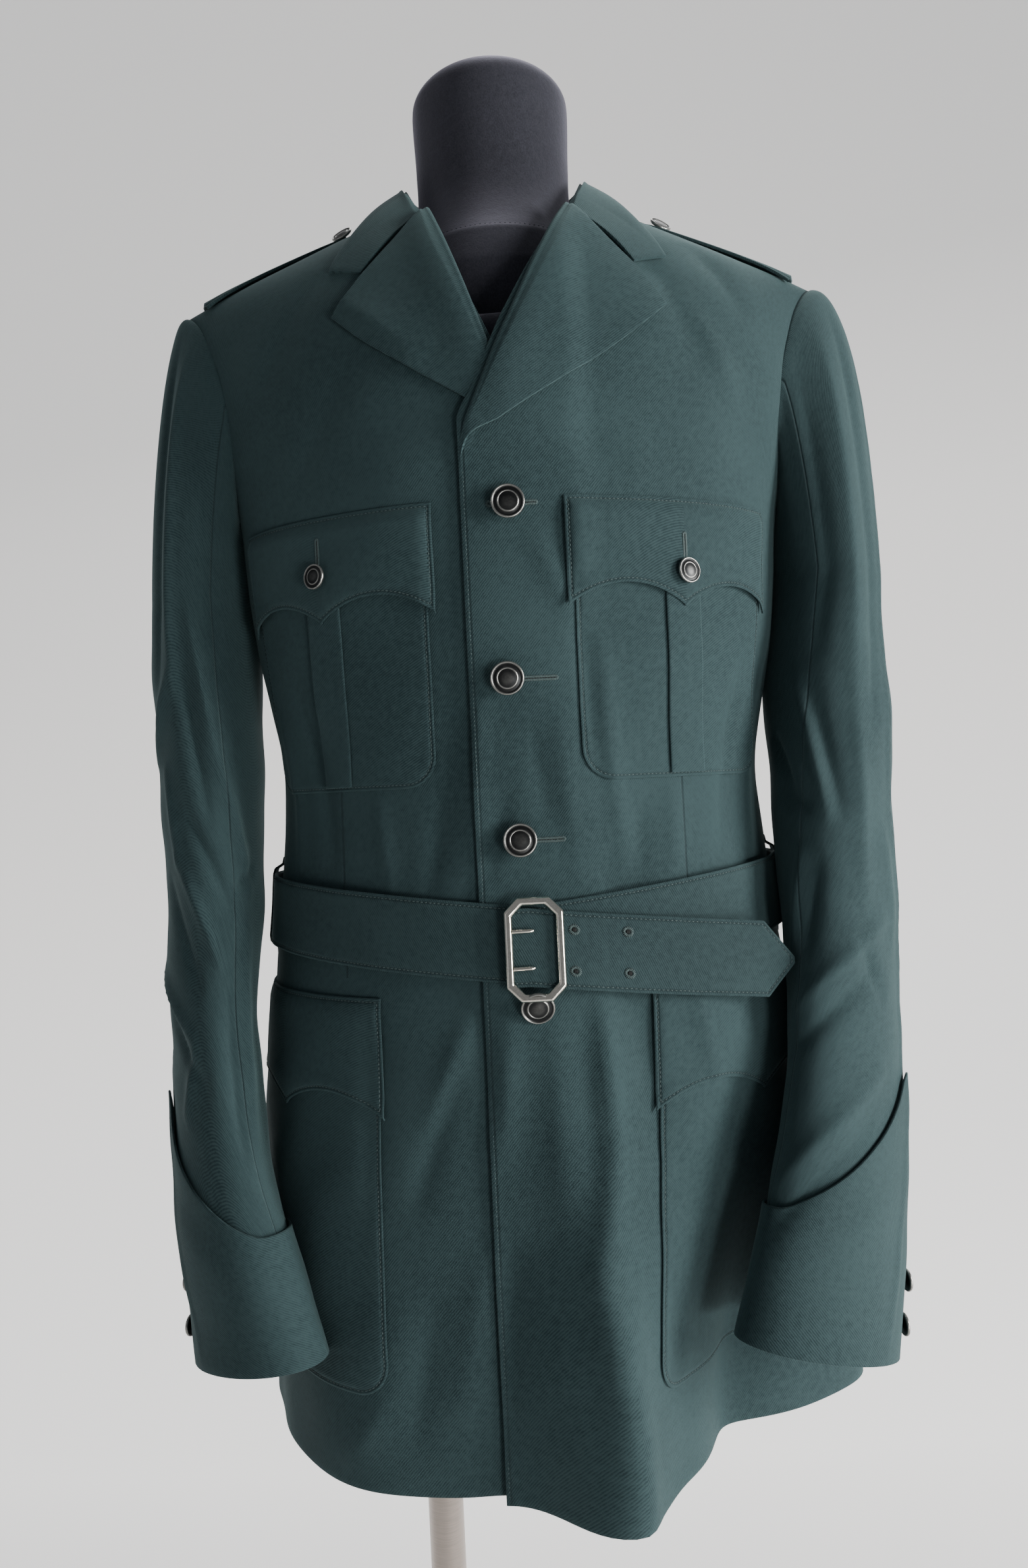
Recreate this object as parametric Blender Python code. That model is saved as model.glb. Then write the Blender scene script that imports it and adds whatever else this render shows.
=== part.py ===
# Service dress tunic with its cloth belt, worn by a limbless dress form on a pole stand.
# The wearer's left is +X, the front faces -Y, and the floor is z = 0. Metres.
import bpy
import bmesh
import numpy as np
from math import asin, cos, degrees, pi, radians, sin, sqrt

# Cloth
WALL = 0.0018        # barathea with its canvas
GAP = 0.0004         # between pieces that touch
TRIM = 0.0014        # pockets, flaps and cuffs, one layer
BELT = 0.0024        # belt, two layers on webbing
LAY = 0.0011         # under a piece that lies on curved cloth

# Heights
HEM = {"left": 0.627, "right": 0.642, "back": 0.636}
CHEST = 1.240        # armpit level
RIDGE = 1.468        # top of the shoulder beside the neck
BREAK = 1.268        # where the lapels start to roll

# Shoulders and neck
SHOULDER = 0.2230    # half width that the section grows to at the ridge
RIDGE_Y = 0.012      # the shoulder seam lies a little behind the middle
SLOPE = 0.385        # fall of the shoulder for each metre outwards
NECK = 0.062         # half width of the neckline at the shoulder seam
EDGE = -0.029        # buttoning edge of the left front
UNDER = 0.014        # hidden edge of the right front
NAPE = 0.66          # share of the way up where the back neckline starts
# Rows of the yoke, from the armpit to the shoulder seam; the sleeve heads use the same ones
SHARES = (0.0, 0.03, 0.10, 0.20, 0.32, 0.50, 0.68, 0.82, 0.93, 1.0)

# The trunk: height, half width, depth of the front, depth of the back
TRUNK = (
    (0.600, 0.1935, 0.156, 0.158),
    (0.700, 0.192, 0.151, 0.153),
    (0.800, 0.190, 0.146, 0.148),
    (0.900, 0.181, 0.137, 0.136),
    (0.990, 0.171, 0.128, 0.122),
    (1.075, 0.166, 0.124, 0.113),
    (1.160, 0.180, 0.131, 0.118),
    (1.240, 0.188, 0.133, 0.122),
)
# Folds of the skirt: angle, spread, swell at the hem, height where the fold dies out
FOLDS = (
    (12, 10, 0.033, 0.96),
    (47, 16, -0.040, 0.90),
    (86, 12, 0.028, 0.90),
    (-8, 7, -0.004, 0.90),
    (-36, 15, 0.012, 0.93),
    (-76, 12, -0.006, 0.90),
    (138, 13, 0.012, 0.92),
    (165, 9, -0.008, 0.88),
    (-165, 9, -0.006, 0.88),
    (-138, 13, 0.012, 0.92),
)
# Armhole edge: share of the way up, angle from the front middle; the back edge mirrors it
ARMHOLE = ((0.0, 88.0), (0.12, 73.0), (0.28, 65.0), (0.5, 62.5), (0.75, 65.5), (1.0, 73.0))
# Sleeves: height, centre x, centre y, half width, half depth, turn inwards, rise of the front
SLEEVES = {
    1: (
        (1.195, 0.2275, 0.000, 0.0370, 0.066, 4, 0.000),
        (1.100, 0.2200, -0.012, 0.0370, 0.066, 12, 0.002),
        (1.000, 0.2160, -0.032, 0.0345, 0.066, 22, 0.006),
        (0.900, 0.2130, -0.058, 0.0310, 0.066, 31, 0.012),
        (0.800, 0.2005, -0.101, 0.0320, 0.067, 44, 0.018),
        (0.698, 0.1745, -0.136, 0.0310, 0.067, 58, 0.021),
    ),
    -1: (
        (1.195, 0.2275, 0.000, 0.0370, 0.066, 4, 0.000),
        (1.100, 0.2200, -0.006, 0.0350, 0.065, 8, 0.000),
        (1.000, 0.2175, -0.022, 0.0310, 0.063, 14, 0.002),
        (0.900, 0.2170, -0.047, 0.0270, 0.060, 18, 0.004),
        (0.800, 0.2115, -0.083, 0.0285, 0.059, 28, 0.008),
        (0.694, 0.1905, -0.122, 0.0300, 0.062, 50, 0.012),
    ),
}
HEAD_ROWS = 5        # rings of the sleeve head
ARM_ROWS = 11        # rings below it
FRONT_SEAM = 4       # where the sleeve's seams meet the armhole, as places in SHARES
BACK_SEAM = 5
CUFF_LOW = 0.066     # cuff height at the front
CUFF_PEAK = 0.086    # what its point adds
CUFF_AT = -48        # where the point is, degrees from the outer side
CUFF_LIFT = 0.0016

# Collar by its turn from the nape, 0, to the front end, 1: roll line x, y, z and foot x, y, z
COLLAR = (
    (0.00, 0.0000, 0.0670, 1.4970, 0.0000, 0.0690, 1.4625),
    (0.25, 0.0455, 0.0470, 1.4965, 0.0455, 0.0470, 1.4730),
    (0.50, 0.0632, 0.0080, 1.4915, 0.0622, 0.0105, 1.4738),
    (0.70, 0.0610, -0.0225, 1.4780, 0.0562, -0.0200, 1.4680),
    (0.85, 0.0562, -0.0440, 1.4600, 0.0512, -0.0400, 1.4540),
    (1.00, 0.0510, -0.0615, 1.4415, 0.0450, -0.0575, 1.4380),
)
# Outer edge of the collar's fall: turn, angle round the trunk, share of the way up the yoke
FALL_BACK = ((0.00, 180.0, 0.61), (0.17, 168.0, 0.65), (0.34, 160.0, 0.78), (0.50, 153.9, 1.0))
FALL_FRONT = ((0.50, 26.1, 1.0), (0.68, 29.1, 0.744), (0.86, 32.0, 0.551), (1.00, 25.1, 0.490))

FALL_LIFT = WALL + 0.0021

# Shoulder strap: distance out from the middle and half width
EPAULETTE = ((0.104, 0.005), (0.112, 0.0185), (0.125, 0.0200), (0.147, 0.0210), (0.167, 0.0220),
             (0.183, 0.0225), (0.195, 0.0228), (0.2045, 0.0225))

# Buttons: radius of the large and the small ones
LARGE = 0.0104
SMALL = 0.0070
FRONT_BUTTONS = (1.228, 1.124, 1.025, 0.9175)
SLEEVE_BUTTONS = (0.026, 0.050)      # above the cuff's edge

# Belt and buckle
BELT_WIDTH = 0.047
BELT_FRONT = 0.962
BELT_SIDE = 0.981
BELT_LIFT = 0.0054   # over both fronts where they overlap
BUCKLE_W, BUCKLE_H = 0.036, 0.062
BUCKLE_BAR = 0.0048
BUCKLE_DEEP = 0.003
TIP_X = 0.166

# Pockets by side: inner edge measured round the cloth from the front middle
BREAST = {1: 0.037, -1: 0.052}
BREAST_W, BREAST_TOP, BREAST_LOW = 0.142, 1.2215, 1.060
BREAST_FLAP_W, FLAP_TOP, FLAP_LOW = 0.152, 1.233, 1.166
PLEAT_W = 0.026
HIP = {1: 0.077, -1: 0.098}
HIP_W, HIP_TOP, HIP_LOW = 0.165, 0.919, 0.697
HIP_FLAP_W, HIP_FLAP_TOP, HIP_FLAP_LOW = 0.171, 0.931, 0.858
HIP_EASE = 0.0003    # more room over the skirt's folds

# Dress form and stand
FORM_LOW = 0.700
FORM_TAPER = 0.022   # how far its hips draw in by the lower end
FORM_TOP = 1.588
POLE_X, POLE_Y = -0.078, 0.0
POLE_R = 0.0125
BASE_R, BASE_T = 0.165, 0.012


def clear_scene():
    for old in list(bpy.data.objects):
        bpy.data.objects.remove(old, do_unlink=True)


def material(name, colour, rough, metal=0.0):
    made = bpy.data.materials.new(name)
    made.use_nodes = True
    shader = made.node_tree.nodes["Principled BSDF"]
    shader.inputs["Base Color"].default_value = (*colour, 1)
    shader.inputs["Roughness"].default_value = rough
    shader.inputs["Metallic"].default_value = metal
    return made


def ease(x):
    x = min(max(x, 0.0), 1.0)
    return x * x * (3 - 2 * x)


def read(rows, at, column):
    """A smooth curve through one column of a table whose first column rises or falls."""
    keys = np.array([row[0] for row in rows], float)
    values = np.array([row[column] for row in rows], float)
    if keys[0] > keys[-1]:
        keys, values = keys[::-1], values[::-1]
    at = min(max(at, keys[0]), keys[-1])
    slopes = np.gradient(values, keys)
    i = min(max(int(np.searchsorted(keys, at)) - 1, 0), len(keys) - 2)
    step = keys[i + 1] - keys[i]
    t = (at - keys[i]) / step
    return float(
        (2 * t**3 - 3 * t**2 + 1) * values[i] + (t**3 - 2 * t**2 + t) * step * slopes[i]
        + (3 * t**2 - 2 * t**3) * values[i + 1] + (t**3 - t**2) * step * slopes[i + 1]
    )


def swell(angle, height):
    """How far the skirt's folds push the cloth out."""
    out = 0.0
    for at, spread, size, top in FOLDS:
        away = (degrees(angle) - at + 180) % 360 - 180
        out += size * np.exp(-((away / spread) ** 2)) * ease((top - height) / (top - 0.63))
    return out


def ridge(x):
    return RIDGE - SLOPE * (abs(x) - NECK)


def trunk(angle, height):
    """A point of the cloth's inner side. Above the chest the section arches over to the shoulder."""
    low = min(height, CHEST)
    wide = read(TRUNK, low, 1)
    deep = read(TRUNK, low, 2) if cos(angle) > 0 else read(TRUNK, low, 3)
    fold = swell(angle, height)
    y = -(deep + fold) * cos(angle)
    if height <= CHEST:
        return np.array(((wide + fold) * sin(angle), y, height))
    share = (height - CHEST) / (RIDGE - CHEST)
    arch = share * pi / 2
    x = sin(angle) * (wide + (SHOULDER - wide) * share)
    return np.array((x, RIDGE_Y + (y - RIDGE_Y) * cos(arch), CHEST + (ridge(x) - CHEST) * sin(arch)))


def cloth(angle, height, out=0.0):
    """A point of the trunk's cloth moved out along its normal."""
    step = 0.004
    here = trunk(angle, height)
    top = min(height + step, RIDGE)
    across = trunk(angle + step * 5, height) - trunk(angle - step * 5, height)
    up = trunk(angle, top) - trunk(angle, top - 2 * step)
    normal = np.cross(across, up)
    return here + normal / np.linalg.norm(normal) * out


def chart(x, z):
    """Angle and height of the front's point at a width and a height seen from ahead."""
    if z <= CHEST:
        return asin(max(min(x / read(TRUNK, z, 1), 1), -1)), z
    arch = asin(min((z - CHEST) / (ridge(x) - CHEST), 1.0))
    share = arch / (pi / 2)
    wide = read(TRUNK, CHEST, 1)
    return asin(max(min(x / (wide + (SHOULDER - wide) * share), 1), -1)), CHEST + share * (RIDGE - CHEST)


def round_to(side, length, z):
    """The angle that lies a length round the cloth from the front middle."""
    angle, gone = 0.0, 0.0
    step = radians(1.0)
    here = trunk(0, z)
    while gone < length and angle < pi:
        angle += step
        there = trunk(side * angle, z)
        run = float(np.linalg.norm(there - here))
        gone += run
        here = there
    return side * (angle - step * (gone - length) / run)


def solid(name, verts, faces, mat, smooth=True):
    mesh = bpy.data.meshes.new(name)
    mesh.from_pydata([tuple(v) for v in verts], [], faces)
    shape = bmesh.new()
    shape.from_mesh(mesh)
    bmesh.ops.recalc_face_normals(shape, faces=shape.faces[:])
    if shape.calc_volume(signed=True) < 0:
        bmesh.ops.reverse_faces(shape, faces=shape.faces[:])
    shape.to_mesh(mesh)
    shape.free()
    if smooth:
        mesh.shade_smooth()
        mesh.set_sharp_from_angle(angle=radians(40))
    made = bpy.data.objects.new(name, mesh)
    made.data.materials.append(mat)
    bpy.context.collection.objects.link(made)
    return made


def wall(name, inner, outer, mat, ring=False):
    """A closed wall between two grids of points; ring joins the last column to the first."""
    rows, columns = inner.shape[:2]
    half = rows * columns
    verts = list(inner.reshape(-1, 3)) + list(outer.reshape(-1, 3))
    spans = columns if ring else columns - 1
    at = lambda r, c: r * columns + c % columns
    faces = []
    for r in range(rows - 1):
        for c in range(spans):
            a, b, d, e = at(r, c), at(r, c + 1), at(r + 1, c + 1), at(r + 1, c)
            faces += [(a, b, d, e), (half + e, half + d, half + b, half + a)]
    for c in range(spans):
        low, high = (at(0, c), at(0, c + 1)), (at(rows - 1, c), at(rows - 1, c + 1))
        faces.append((low[1], low[0], half + low[0], half + low[1]))
        faces.append((high[0], high[1], half + high[1], half + high[0]))
    if not ring:
        for r in range(rows - 1):
            left, right = (at(r, 0), at(r + 1, 0)), (at(r, columns - 1), at(r + 1, columns - 1))
            faces.append((left[0], left[1], half + left[1], half + left[0]))
            faces.append((right[1], right[0], half + right[0], half + right[1]))
    return solid(name, verts, faces, mat)


def laid(name, rows, lift, thick, mat, ring=False, place=cloth):
    """A piece that lies on the trunk's cloth. rows holds the angle and height of each point."""
    inner = np.array([[place(a, h, lift) for a, h in row] for row in rows])
    outer = np.array([[place(a, h, lift + thick) for a, h in row] for row in rows])
    return wall(name, inner, outer, mat, ring)


def armhole(share, back=False):
    angle = radians(read(ARMHOLE, share, 1))
    return pi - angle if back else angle


def yoke_height(share):
    return CHEST + share * (RIDGE - CHEST)


def width_at(height):
    share = max(0.0, (height - CHEST) / (RIDGE - CHEST))
    wide = read(TRUNK, min(height, CHEST), 1)
    return wide + (SHOULDER - wide) * share, share


def front_edge(side, height):
    """The front's own edge at a row: buttoning edge, break line, then the neck point."""
    edge = EDGE if side > 0 else -UNDER
    if height <= BREAK:
        return edge
    turn = sin((BREAK - CHEST) / (RIDGE - CHEST) * pi / 2)
    up = sin((height - CHEST) / (RIDGE - CHEST) * pi / 2)
    # beside the neck the edge stands back from the collar's foot
    back_off = 0.009 * ease((up - 0.77) / 0.08) * ease((1 - up) / 0.035)
    return edge + (NECK - edge) * (up - turn) / (1 - turn) + back_off


def over_under(side, x, height):
    """How far the left front rides out to pass over the hidden edge of the right one."""
    if side < 0:
        return 0.0
    lift = WALL + LAY + 0.0010 * ease((0.80 - height) / 0.08)
    return lift * (1 - ease((x - UNDER - 0.022) / 0.02)) * (1 - ease((height - BREAK - 0.05) / 0.05))


def on_front(angle, height, out):
    """A point over the front's cloth, also where the left front rides out."""
    x = width_at(height)[0] * sin(angle)
    return cloth(angle, height, out + over_under(1 if x > EDGE - 0.002 else -1, x, height))


def front(side, mat, columns=15):
    """One front, from its edge to the side seam and the armhole."""
    hem = HEM["left"] if side > 0 else HEM["right"]
    heights = list(np.linspace(hem, CHEST, 17)) + [yoke_height(s) for s in SHARES[1:]]
    inner, outer = [], []
    for height in heights:
        wide, share = width_at(height)
        first, last = asin(front_edge(side, height) / wide), armhole(share)
        angles = [first + (last - first) * c / (columns - 1) for c in range(columns)]
        overs = [over_under(side, wide * sin(a), height) for a in angles]
        inner.append([cloth(side * a, height, o) for a, o in zip(angles, overs)])
        outer.append([cloth(side * a, height, o + WALL) for a, o in zip(angles, overs)])
    return wall("front_left" if side > 0 else "front_right", np.array(inner), np.array(outer), mat)


def back(side, mat, columns=11):
    """Half of the back, from the middle seam to the side seam and the armhole."""
    heights = list(np.linspace(HEM["back"], CHEST, 15)) + [yoke_height(s) for s in SHARES[1:]]
    inner, outer = [], []
    for height in heights:
        wide, share = width_at(height)
        first = asin((GAP / 2 + NECK * sqrt(max(0.0, (share - NAPE) / (1 - NAPE)))) / wide)
        last = armhole(share)
        angles = [side * (pi - first - (last - first) * c / (columns - 1)) for c in range(columns)]
        shift = np.array((0, GAP, 0))
        inner.append([cloth(a, height) + shift for a in angles])
        outer.append([cloth(a, height, WALL) + shift for a in angles])
    return wall("back_left" if side > 0 else "back_right", np.array(inner), np.array(outer), mat)


def sleeve_point(side, row, around, out=0.0):
    """A point of a sleeve. row is 0 at the armhole, 1 below the head and 2 at the cuff's edge;
    around is 0 on the outer side, a quarter turn at the front and a half turn against the body."""
    rows = SLEEVES[side]
    top, low = rows[0][0], rows[-1][0]
    height = top + (low - top) * max(row - 1, 0)
    x, y, wide, deep, turn, rise = (read(rows, height, c) for c in range(1, 7))
    turn = radians(turn)
    across = np.array((cos(turn), -sin(turn), 0.0))
    ahead = np.array((-sin(turn), -cos(turn), 0.0))
    point = np.array((x, y, height + rise * sin(around)))
    point += across * (wide + out) * cos(around) + ahead * (deep + out) * sin(around)
    if row < 1:
        share = (1 + cos(around)) / 2
        root = cloth(armhole(share, sin(around) < 0), yoke_height(share), out)
        root += np.array((0.0010, 0.0008 if sin(around) < 0 else 0, 0))
        reach = float(np.linalg.norm(point - root))
        lean = root + np.array((0.42 * reach * (0.25 + 0.75 * share), 0, 0.03 * reach))
        hang = point + np.array((0, 0, 0.5 * reach))
        point = (1 - row) ** 3 * root + 3 * row * (1 - row) ** 2 * lean + 3 * row**2 * (1 - row) * hang + row**3 * point
    return point * np.array((side, 1, 1))


def seam_turn(place):
    """The turn round the sleeve at which a place of the armhole lies."""
    return float(np.arccos(2 * SHARES[place] - 1))


def sleeve(side, part, mat):
    """The top sleeve or the under sleeve, from the armhole to the cuff's edge."""
    slit = 0.006
    turns = [seam_turn(i) for i in range(len(SHARES))]
    if part == "top":
        around = [-t for t in turns[BACK_SEAM:]] + [t for t in reversed(turns[FRONT_SEAM:-1])]
        around[0] += slit
        around[-1] -= slit
    else:
        around = [t for t in reversed(turns[: FRONT_SEAM + 1])] + [2 * pi - t for t in turns[1 : BACK_SEAM + 1]]
        around[0] += slit
        around[-1] -= slit
    steps = [i / HEAD_ROWS for i in range(HEAD_ROWS)] + [1 + i / ARM_ROWS for i in range(ARM_ROWS + 1)]
    inner = np.array([[sleeve_point(side, s, a) for a in around] for s in steps])
    outer = np.array([[sleeve_point(side, s, a, WALL) for a in around] for s in steps])
    return wall(f"sleeve_{part}_{'left' if side > 0 else 'right'}", inner, outer, mat)


def cuff(side, mat, count=30):
    """The pointed cuff, laid round the sleeve's end and open at its top and bottom."""
    low, top = SLEEVES[side][-1][0], SLEEVES[side][0][0]
    inner, outer = [], []
    for step in (0, 0.5, 1):
        points = []
        for i in range(count):
            around = 2 * pi * i / count
            away = (degrees(around) - CUFF_AT + 180) % 360 - 180
            tall = CUFF_LOW + CUFF_PEAK * max(0, 1 - abs(away) / 110) ** 1.8
            points.append((2 - tall * step / (top - low), around))
        inner.append([sleeve_point(side, r, a, WALL + CUFF_LIFT) for r, a in points])
        outer.append([sleeve_point(side, r, a, WALL + CUFF_LIFT + TRIM) for r, a in points])
    return wall(f"cuff_{'left' if side > 0 else 'right'}", np.array(inner), np.array(outer), mat, ring=True)


def lapel(side, mat, count=9):
    """The turned-back lapel, from the break line out to its edge and its point below the notch."""
    root_low = np.array((EDGE + 0.001, BREAK - 0.008) if side > 0 else (0.0165, BREAK + 0.046))
    edge_low = root_low if side > 0 else np.array((0.0285, BREAK + 0.028))
    root_top = np.array((0.0500, 1.4370))
    gorge, tip = np.array((0.0868, 1.3885)), np.array((0.1055, 1.3600))
    grid = []
    for i in range(count):
        t = i / (count - 1)
        root = root_low + (root_top - root_low) * t
        k = min(t / 0.8, 1.0)
        edge = edge_low + (tip - edge_low) * k + np.array((0.003, -0.007)) * sin(pi * k)
        if t > 0.8:
            edge = tip + (gorge - tip) * (t - 0.8) / 0.2
        grid.append([root + (edge - root) * k / 6 for k in range(7)])
    if side > 0:
        grid[0] = [root_low + (np.array((0.006, 0.002)) * k / 6) for k in range(7)]
    angles = [[chart(side * x, z) for x, z in row] for row in grid]
    place = on_front if side > 0 else cloth
    return laid("lapel_left" if side > 0 else "lapel_right", angles, WALL + LAY + GAP, WALL, mat, place=place)


def thicken(grid, thick):
    """The grid moved along its own normals."""
    along = np.gradient(grid, axis=0)
    across = np.gradient(grid, axis=1)
    normal = np.cross(along, across)
    normal /= np.linalg.norm(normal, axis=2, keepdims=True)
    return grid + normal * thick


def clear_of(point, angle, height, lift):
    """The point, pushed out where it is less than a lift clear of the trunk's cloth. angle and
    height are where the search for the nearest place of the trunk starts."""
    for _ in range(8):
        here = trunk(angle, height)
        across = (trunk(angle + 0.01, height) - here) / 0.01
        up = (here - trunk(angle, height - 0.003)) / 0.003
        away = point - here
        angle += float(away @ across / (across @ across)) * 0.8
        height = min(max(height + float(away @ up / max(up @ up, 0.05)) * 0.8, CHEST - 0.1), RIDGE)
    normal = cloth(angle, height, 1.0) - trunk(angle, height)
    short = lift - float((point - trunk(angle, height)) @ normal)
    return point + normal * max(short, 0.0)


def collar(mat, count=41):
    """Stand and fall in one sheet, folded over at the roll line."""
    columns = []
    for i in range(count):
        s = -1 + 2 * i / (count - 1)
        side, turn = (1 if s >= 0 else -1), abs(s)
        x, y, z, foot_x, foot_y, foot_z = (read(COLLAR, turn, c) for c in range(1, 7))
        roll, foot = np.array((x, y, z)), np.array((foot_x, foot_y, foot_z))
        table = FALL_BACK if turn <= 0.5 else FALL_FRONT
        edge = cloth(radians(read(table, turn, 1)), yoke_height(read(table, turn, 2)), FALL_LIFT)
        outward = np.array((x, y - 0.004, 0.0))
        outward /= np.linalg.norm(outward)
        fold = roll + outward * 0.0045 - np.array((0, 0, 0.003))
        place = radians(read(table, turn, 1)), yoke_height(read(table, turn, 2))
        if turn > 0.5:
            foot = clear_of(foot, *place, 0.0)
        column = [foot, foot + (roll - foot) * 0.5, foot + (roll - foot) * 0.88, roll + outward * 0.002, fold]
        for k in (0.33, 0.66, 1.0):
            point = fold + (edge - fold) * k + outward * 0.003 * sin(pi * k)
            column.append(clear_of(point, *place, FALL_LIFT))
        columns.append([p * np.array((side, 1, 1)) for p in column])
    under = np.array(columns).transpose(1, 0, 2)
    return wall("collar", under, thicken(under, WALL), mat)


def over_shoulder(x, s, out):
    """A point over the shoulder seam: x outwards, s forwards of the seam along the cloth."""
    angle = asin(x / SHOULDER)
    deep = read(TRUNK, CHEST, 2 if s > 0 else 3) * cos(angle) + (RIDGE_Y if s > 0 else -RIDGE_Y)
    share = max(1 - abs(s) / deep * 2 / pi, 0.3)
    angle = min(angle, armhole(share) - radians(1.5))
    return cloth(angle if s > 0 else pi - angle, yoke_height(share), out)


def epaulette(side, mat):
    """The shoulder strap, sewn in at the sleeve head and pointed beside the collar."""
    inner, outer = [], []
    for x, half in EPAULETTE:
        ranks = np.linspace(-half, half, 7)
        lift = WALL + LAY
        inner.append([over_shoulder(x, s, lift) * np.array((side, 1, 1)) for s in ranks])
        outer.append([over_shoulder(x, s, lift + 2 * TRIM) * np.array((side, 1, 1)) for s in ranks])
    return wall(f"epaulette_{'left' if side > 0 else 'right'}", np.array(inner), np.array(outer), mat)


def pocket_rows(side, inner, wide, heights, columns, round_off=0.0):
    """Angles and heights of a patch; round_off rounds its two lower corners."""
    low = min(heights)
    rows = []
    for z in heights:
        near = max(0.0, (low + round_off - z) / round_off) if round_off else 0.0
        inset = round_off * (1 - sqrt(max(0.0, 1 - near**2)))
        rows.append([
            (round_to(side, inner + inset + (wide - 2 * inset) * c / (columns - 1), z), z) for c in range(columns)
        ])
    return rows


def flap(name, side, inner, wide, top, low, scallop, lift_top, lift_low, mat, columns=13):
    """A three-pointed flap. Its lower edge runs in two hollow arcs between the points."""
    inner_grid, outer_grid = [], []
    for step in (0, 0.14, 0.55, 1):
        inner_row, outer_row = [], []
        for c in range(columns):
            k = c / (columns - 1)
            edge = low + scallop * abs(sin(2 * pi * k)) ** 0.8
            z = top + (edge - top) * step
            angle = round_to(side, inner + wide * k, z)
            lift = lift_top + (lift_low - lift_top) * min(step / 0.14, 1)
            inner_row.append(on_front(angle, z, lift))
            outer_row.append(on_front(angle, z, lift + TRIM))
        inner_grid.append(inner_row)
        outer_grid.append(outer_row)
    return wall(name, np.array(inner_grid), np.array(outer_grid), mat)


def pockets(side, mat):
    tag = "left" if side > 0 else "right"
    base = WALL + LAY
    over_pocket = base + TRIM + LAY
    over_pleat = over_pocket + TRIM + LAY
    r = 0.022
    low_rows = [BREAST_TOP, 1.17, 1.12, BREAST_LOW + r, BREAST_LOW + r * 0.4, BREAST_LOW + r * 0.1, BREAST_LOW]
    rows = pocket_rows(side, BREAST[side], BREAST_W, low_rows, 11, r)
    laid(f"breast_pocket_{tag}", rows, base, TRIM, mat, place=on_front)
    middle = BREAST[side] + BREAST_W / 2
    rows = pocket_rows(side, middle - PLEAT_W / 2, PLEAT_W, [BREAST_TOP - 0.001, 1.17, 1.12, BREAST_LOW + 0.002], 4)
    laid(f"breast_pleat_{tag}", rows, over_pocket, TRIM, mat, place=on_front)
    start = middle - BREAST_FLAP_W / 2
    flap(f"breast_flap_{tag}", side, start, BREAST_FLAP_W, FLAP_TOP, FLAP_LOW, 0.014, base, over_pleat, mat)
    low_rows = [HIP_TOP, 0.87, 0.82, 0.77, HIP_LOW + r, HIP_LOW + r * 0.4, HIP_LOW + r * 0.1, HIP_LOW]
    rows = pocket_rows(side, HIP[side], HIP_W, low_rows, 14, r)
    laid(f"hip_pocket_{tag}", rows, base + HIP_EASE, TRIM, mat)
    flap(f"hip_flap_{tag}", side, HIP[side] - 0.003, HIP_FLAP_W, HIP_FLAP_TOP, HIP_FLAP_LOW, 0.014,
         base + HIP_EASE, over_pocket + HIP_EASE, mat)


def button(name, point, normal, radius, mat, turns=14):
    """A domed button with a raised rim, on a short shank. point is on the cloth."""
    tall = radius * 0.62
    profile = (
        (0.0, GAP), (0.24, GAP), (0.24, tall * 0.42), (1.0, tall * 0.55),
        (0.94, tall * 0.80), (0.55, tall * 0.95), (0.0, tall * 1.02),
    )
    normal = np.array(normal) / np.linalg.norm(normal)
    side = np.cross(normal, (0, 0, 1.0))
    side /= np.linalg.norm(side)
    up = np.cross(side, normal)
    verts, faces = [point + normal * profile[0][1]], []
    for r, h in profile[1:-1]:
        for i in range(turns):
            a = 2 * pi * i / turns
            verts.append(point + normal * h + (side * cos(a) + up * sin(a)) * r * radius)
    verts.append(point + normal * profile[-1][1])
    rings = len(profile) - 2
    for i in range(turns):
        j = (i + 1) % turns
        faces.append((0, 1 + j, 1 + i))
        for k in range(rings - 1):
            a, b = 1 + k * turns, 1 + (k + 1) * turns
            faces.append((a + i, a + j, b + j, b + i))
        last = 1 + (rings - 1) * turns
        faces.append((last + i, last + j, len(verts) - 1))
    return solid(name, verts, faces, mat)


def normal_at(angle, height):
    return cloth(angle, height, 0.01) - cloth(angle, height, 0)


def buttons(mat):
    for i, z in enumerate(FRONT_BUTTONS):
        button(f"front_button_{i + 1}", on_front(0, z, WALL), normal_at(0, z), LARGE, mat)
    for side, tag in ((1, "left"), (-1, "right")):
        z = FLAP_LOW + 0.020
        angle = round_to(side, BREAST[side] + BREAST_W / 2, z)
        flap_out = WALL + 3 * (LAY + TRIM)
        button(f"pocket_button_{tag}", on_front(angle, z, flap_out), normal_at(angle, z), SMALL, mat)
        mirror = np.array((side, 1, 1))
        top = over_shoulder(0.120, 0, WALL + LAY + 2 * TRIM)
        lean = over_shoulder(0.120, 0, 0.02) - over_shoulder(0.120, 0, 0.01)
        button(f"epaulette_button_{tag}", top * mirror, lean * mirror, SMALL, mat)
        rows = SLEEVES[side]
        for i, above in enumerate(SLEEVE_BUTTONS):
            row = 2 - above / (rows[0][0] - rows[-1][0])
            around = radians(-84)
            skin = WALL + CUFF_LIFT + TRIM + 0.0004
            spot = sleeve_point(side, row, around, skin)
            button(f"sleeve_button_{tag}_{i + 1}", spot, sleeve_point(side, row, around, skin + 0.01) - spot, SMALL, mat)


def belt_height(angle):
    return BELT_FRONT + (BELT_SIDE - BELT_FRONT) * sin(min(abs(angle), pi / 2))


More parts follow.
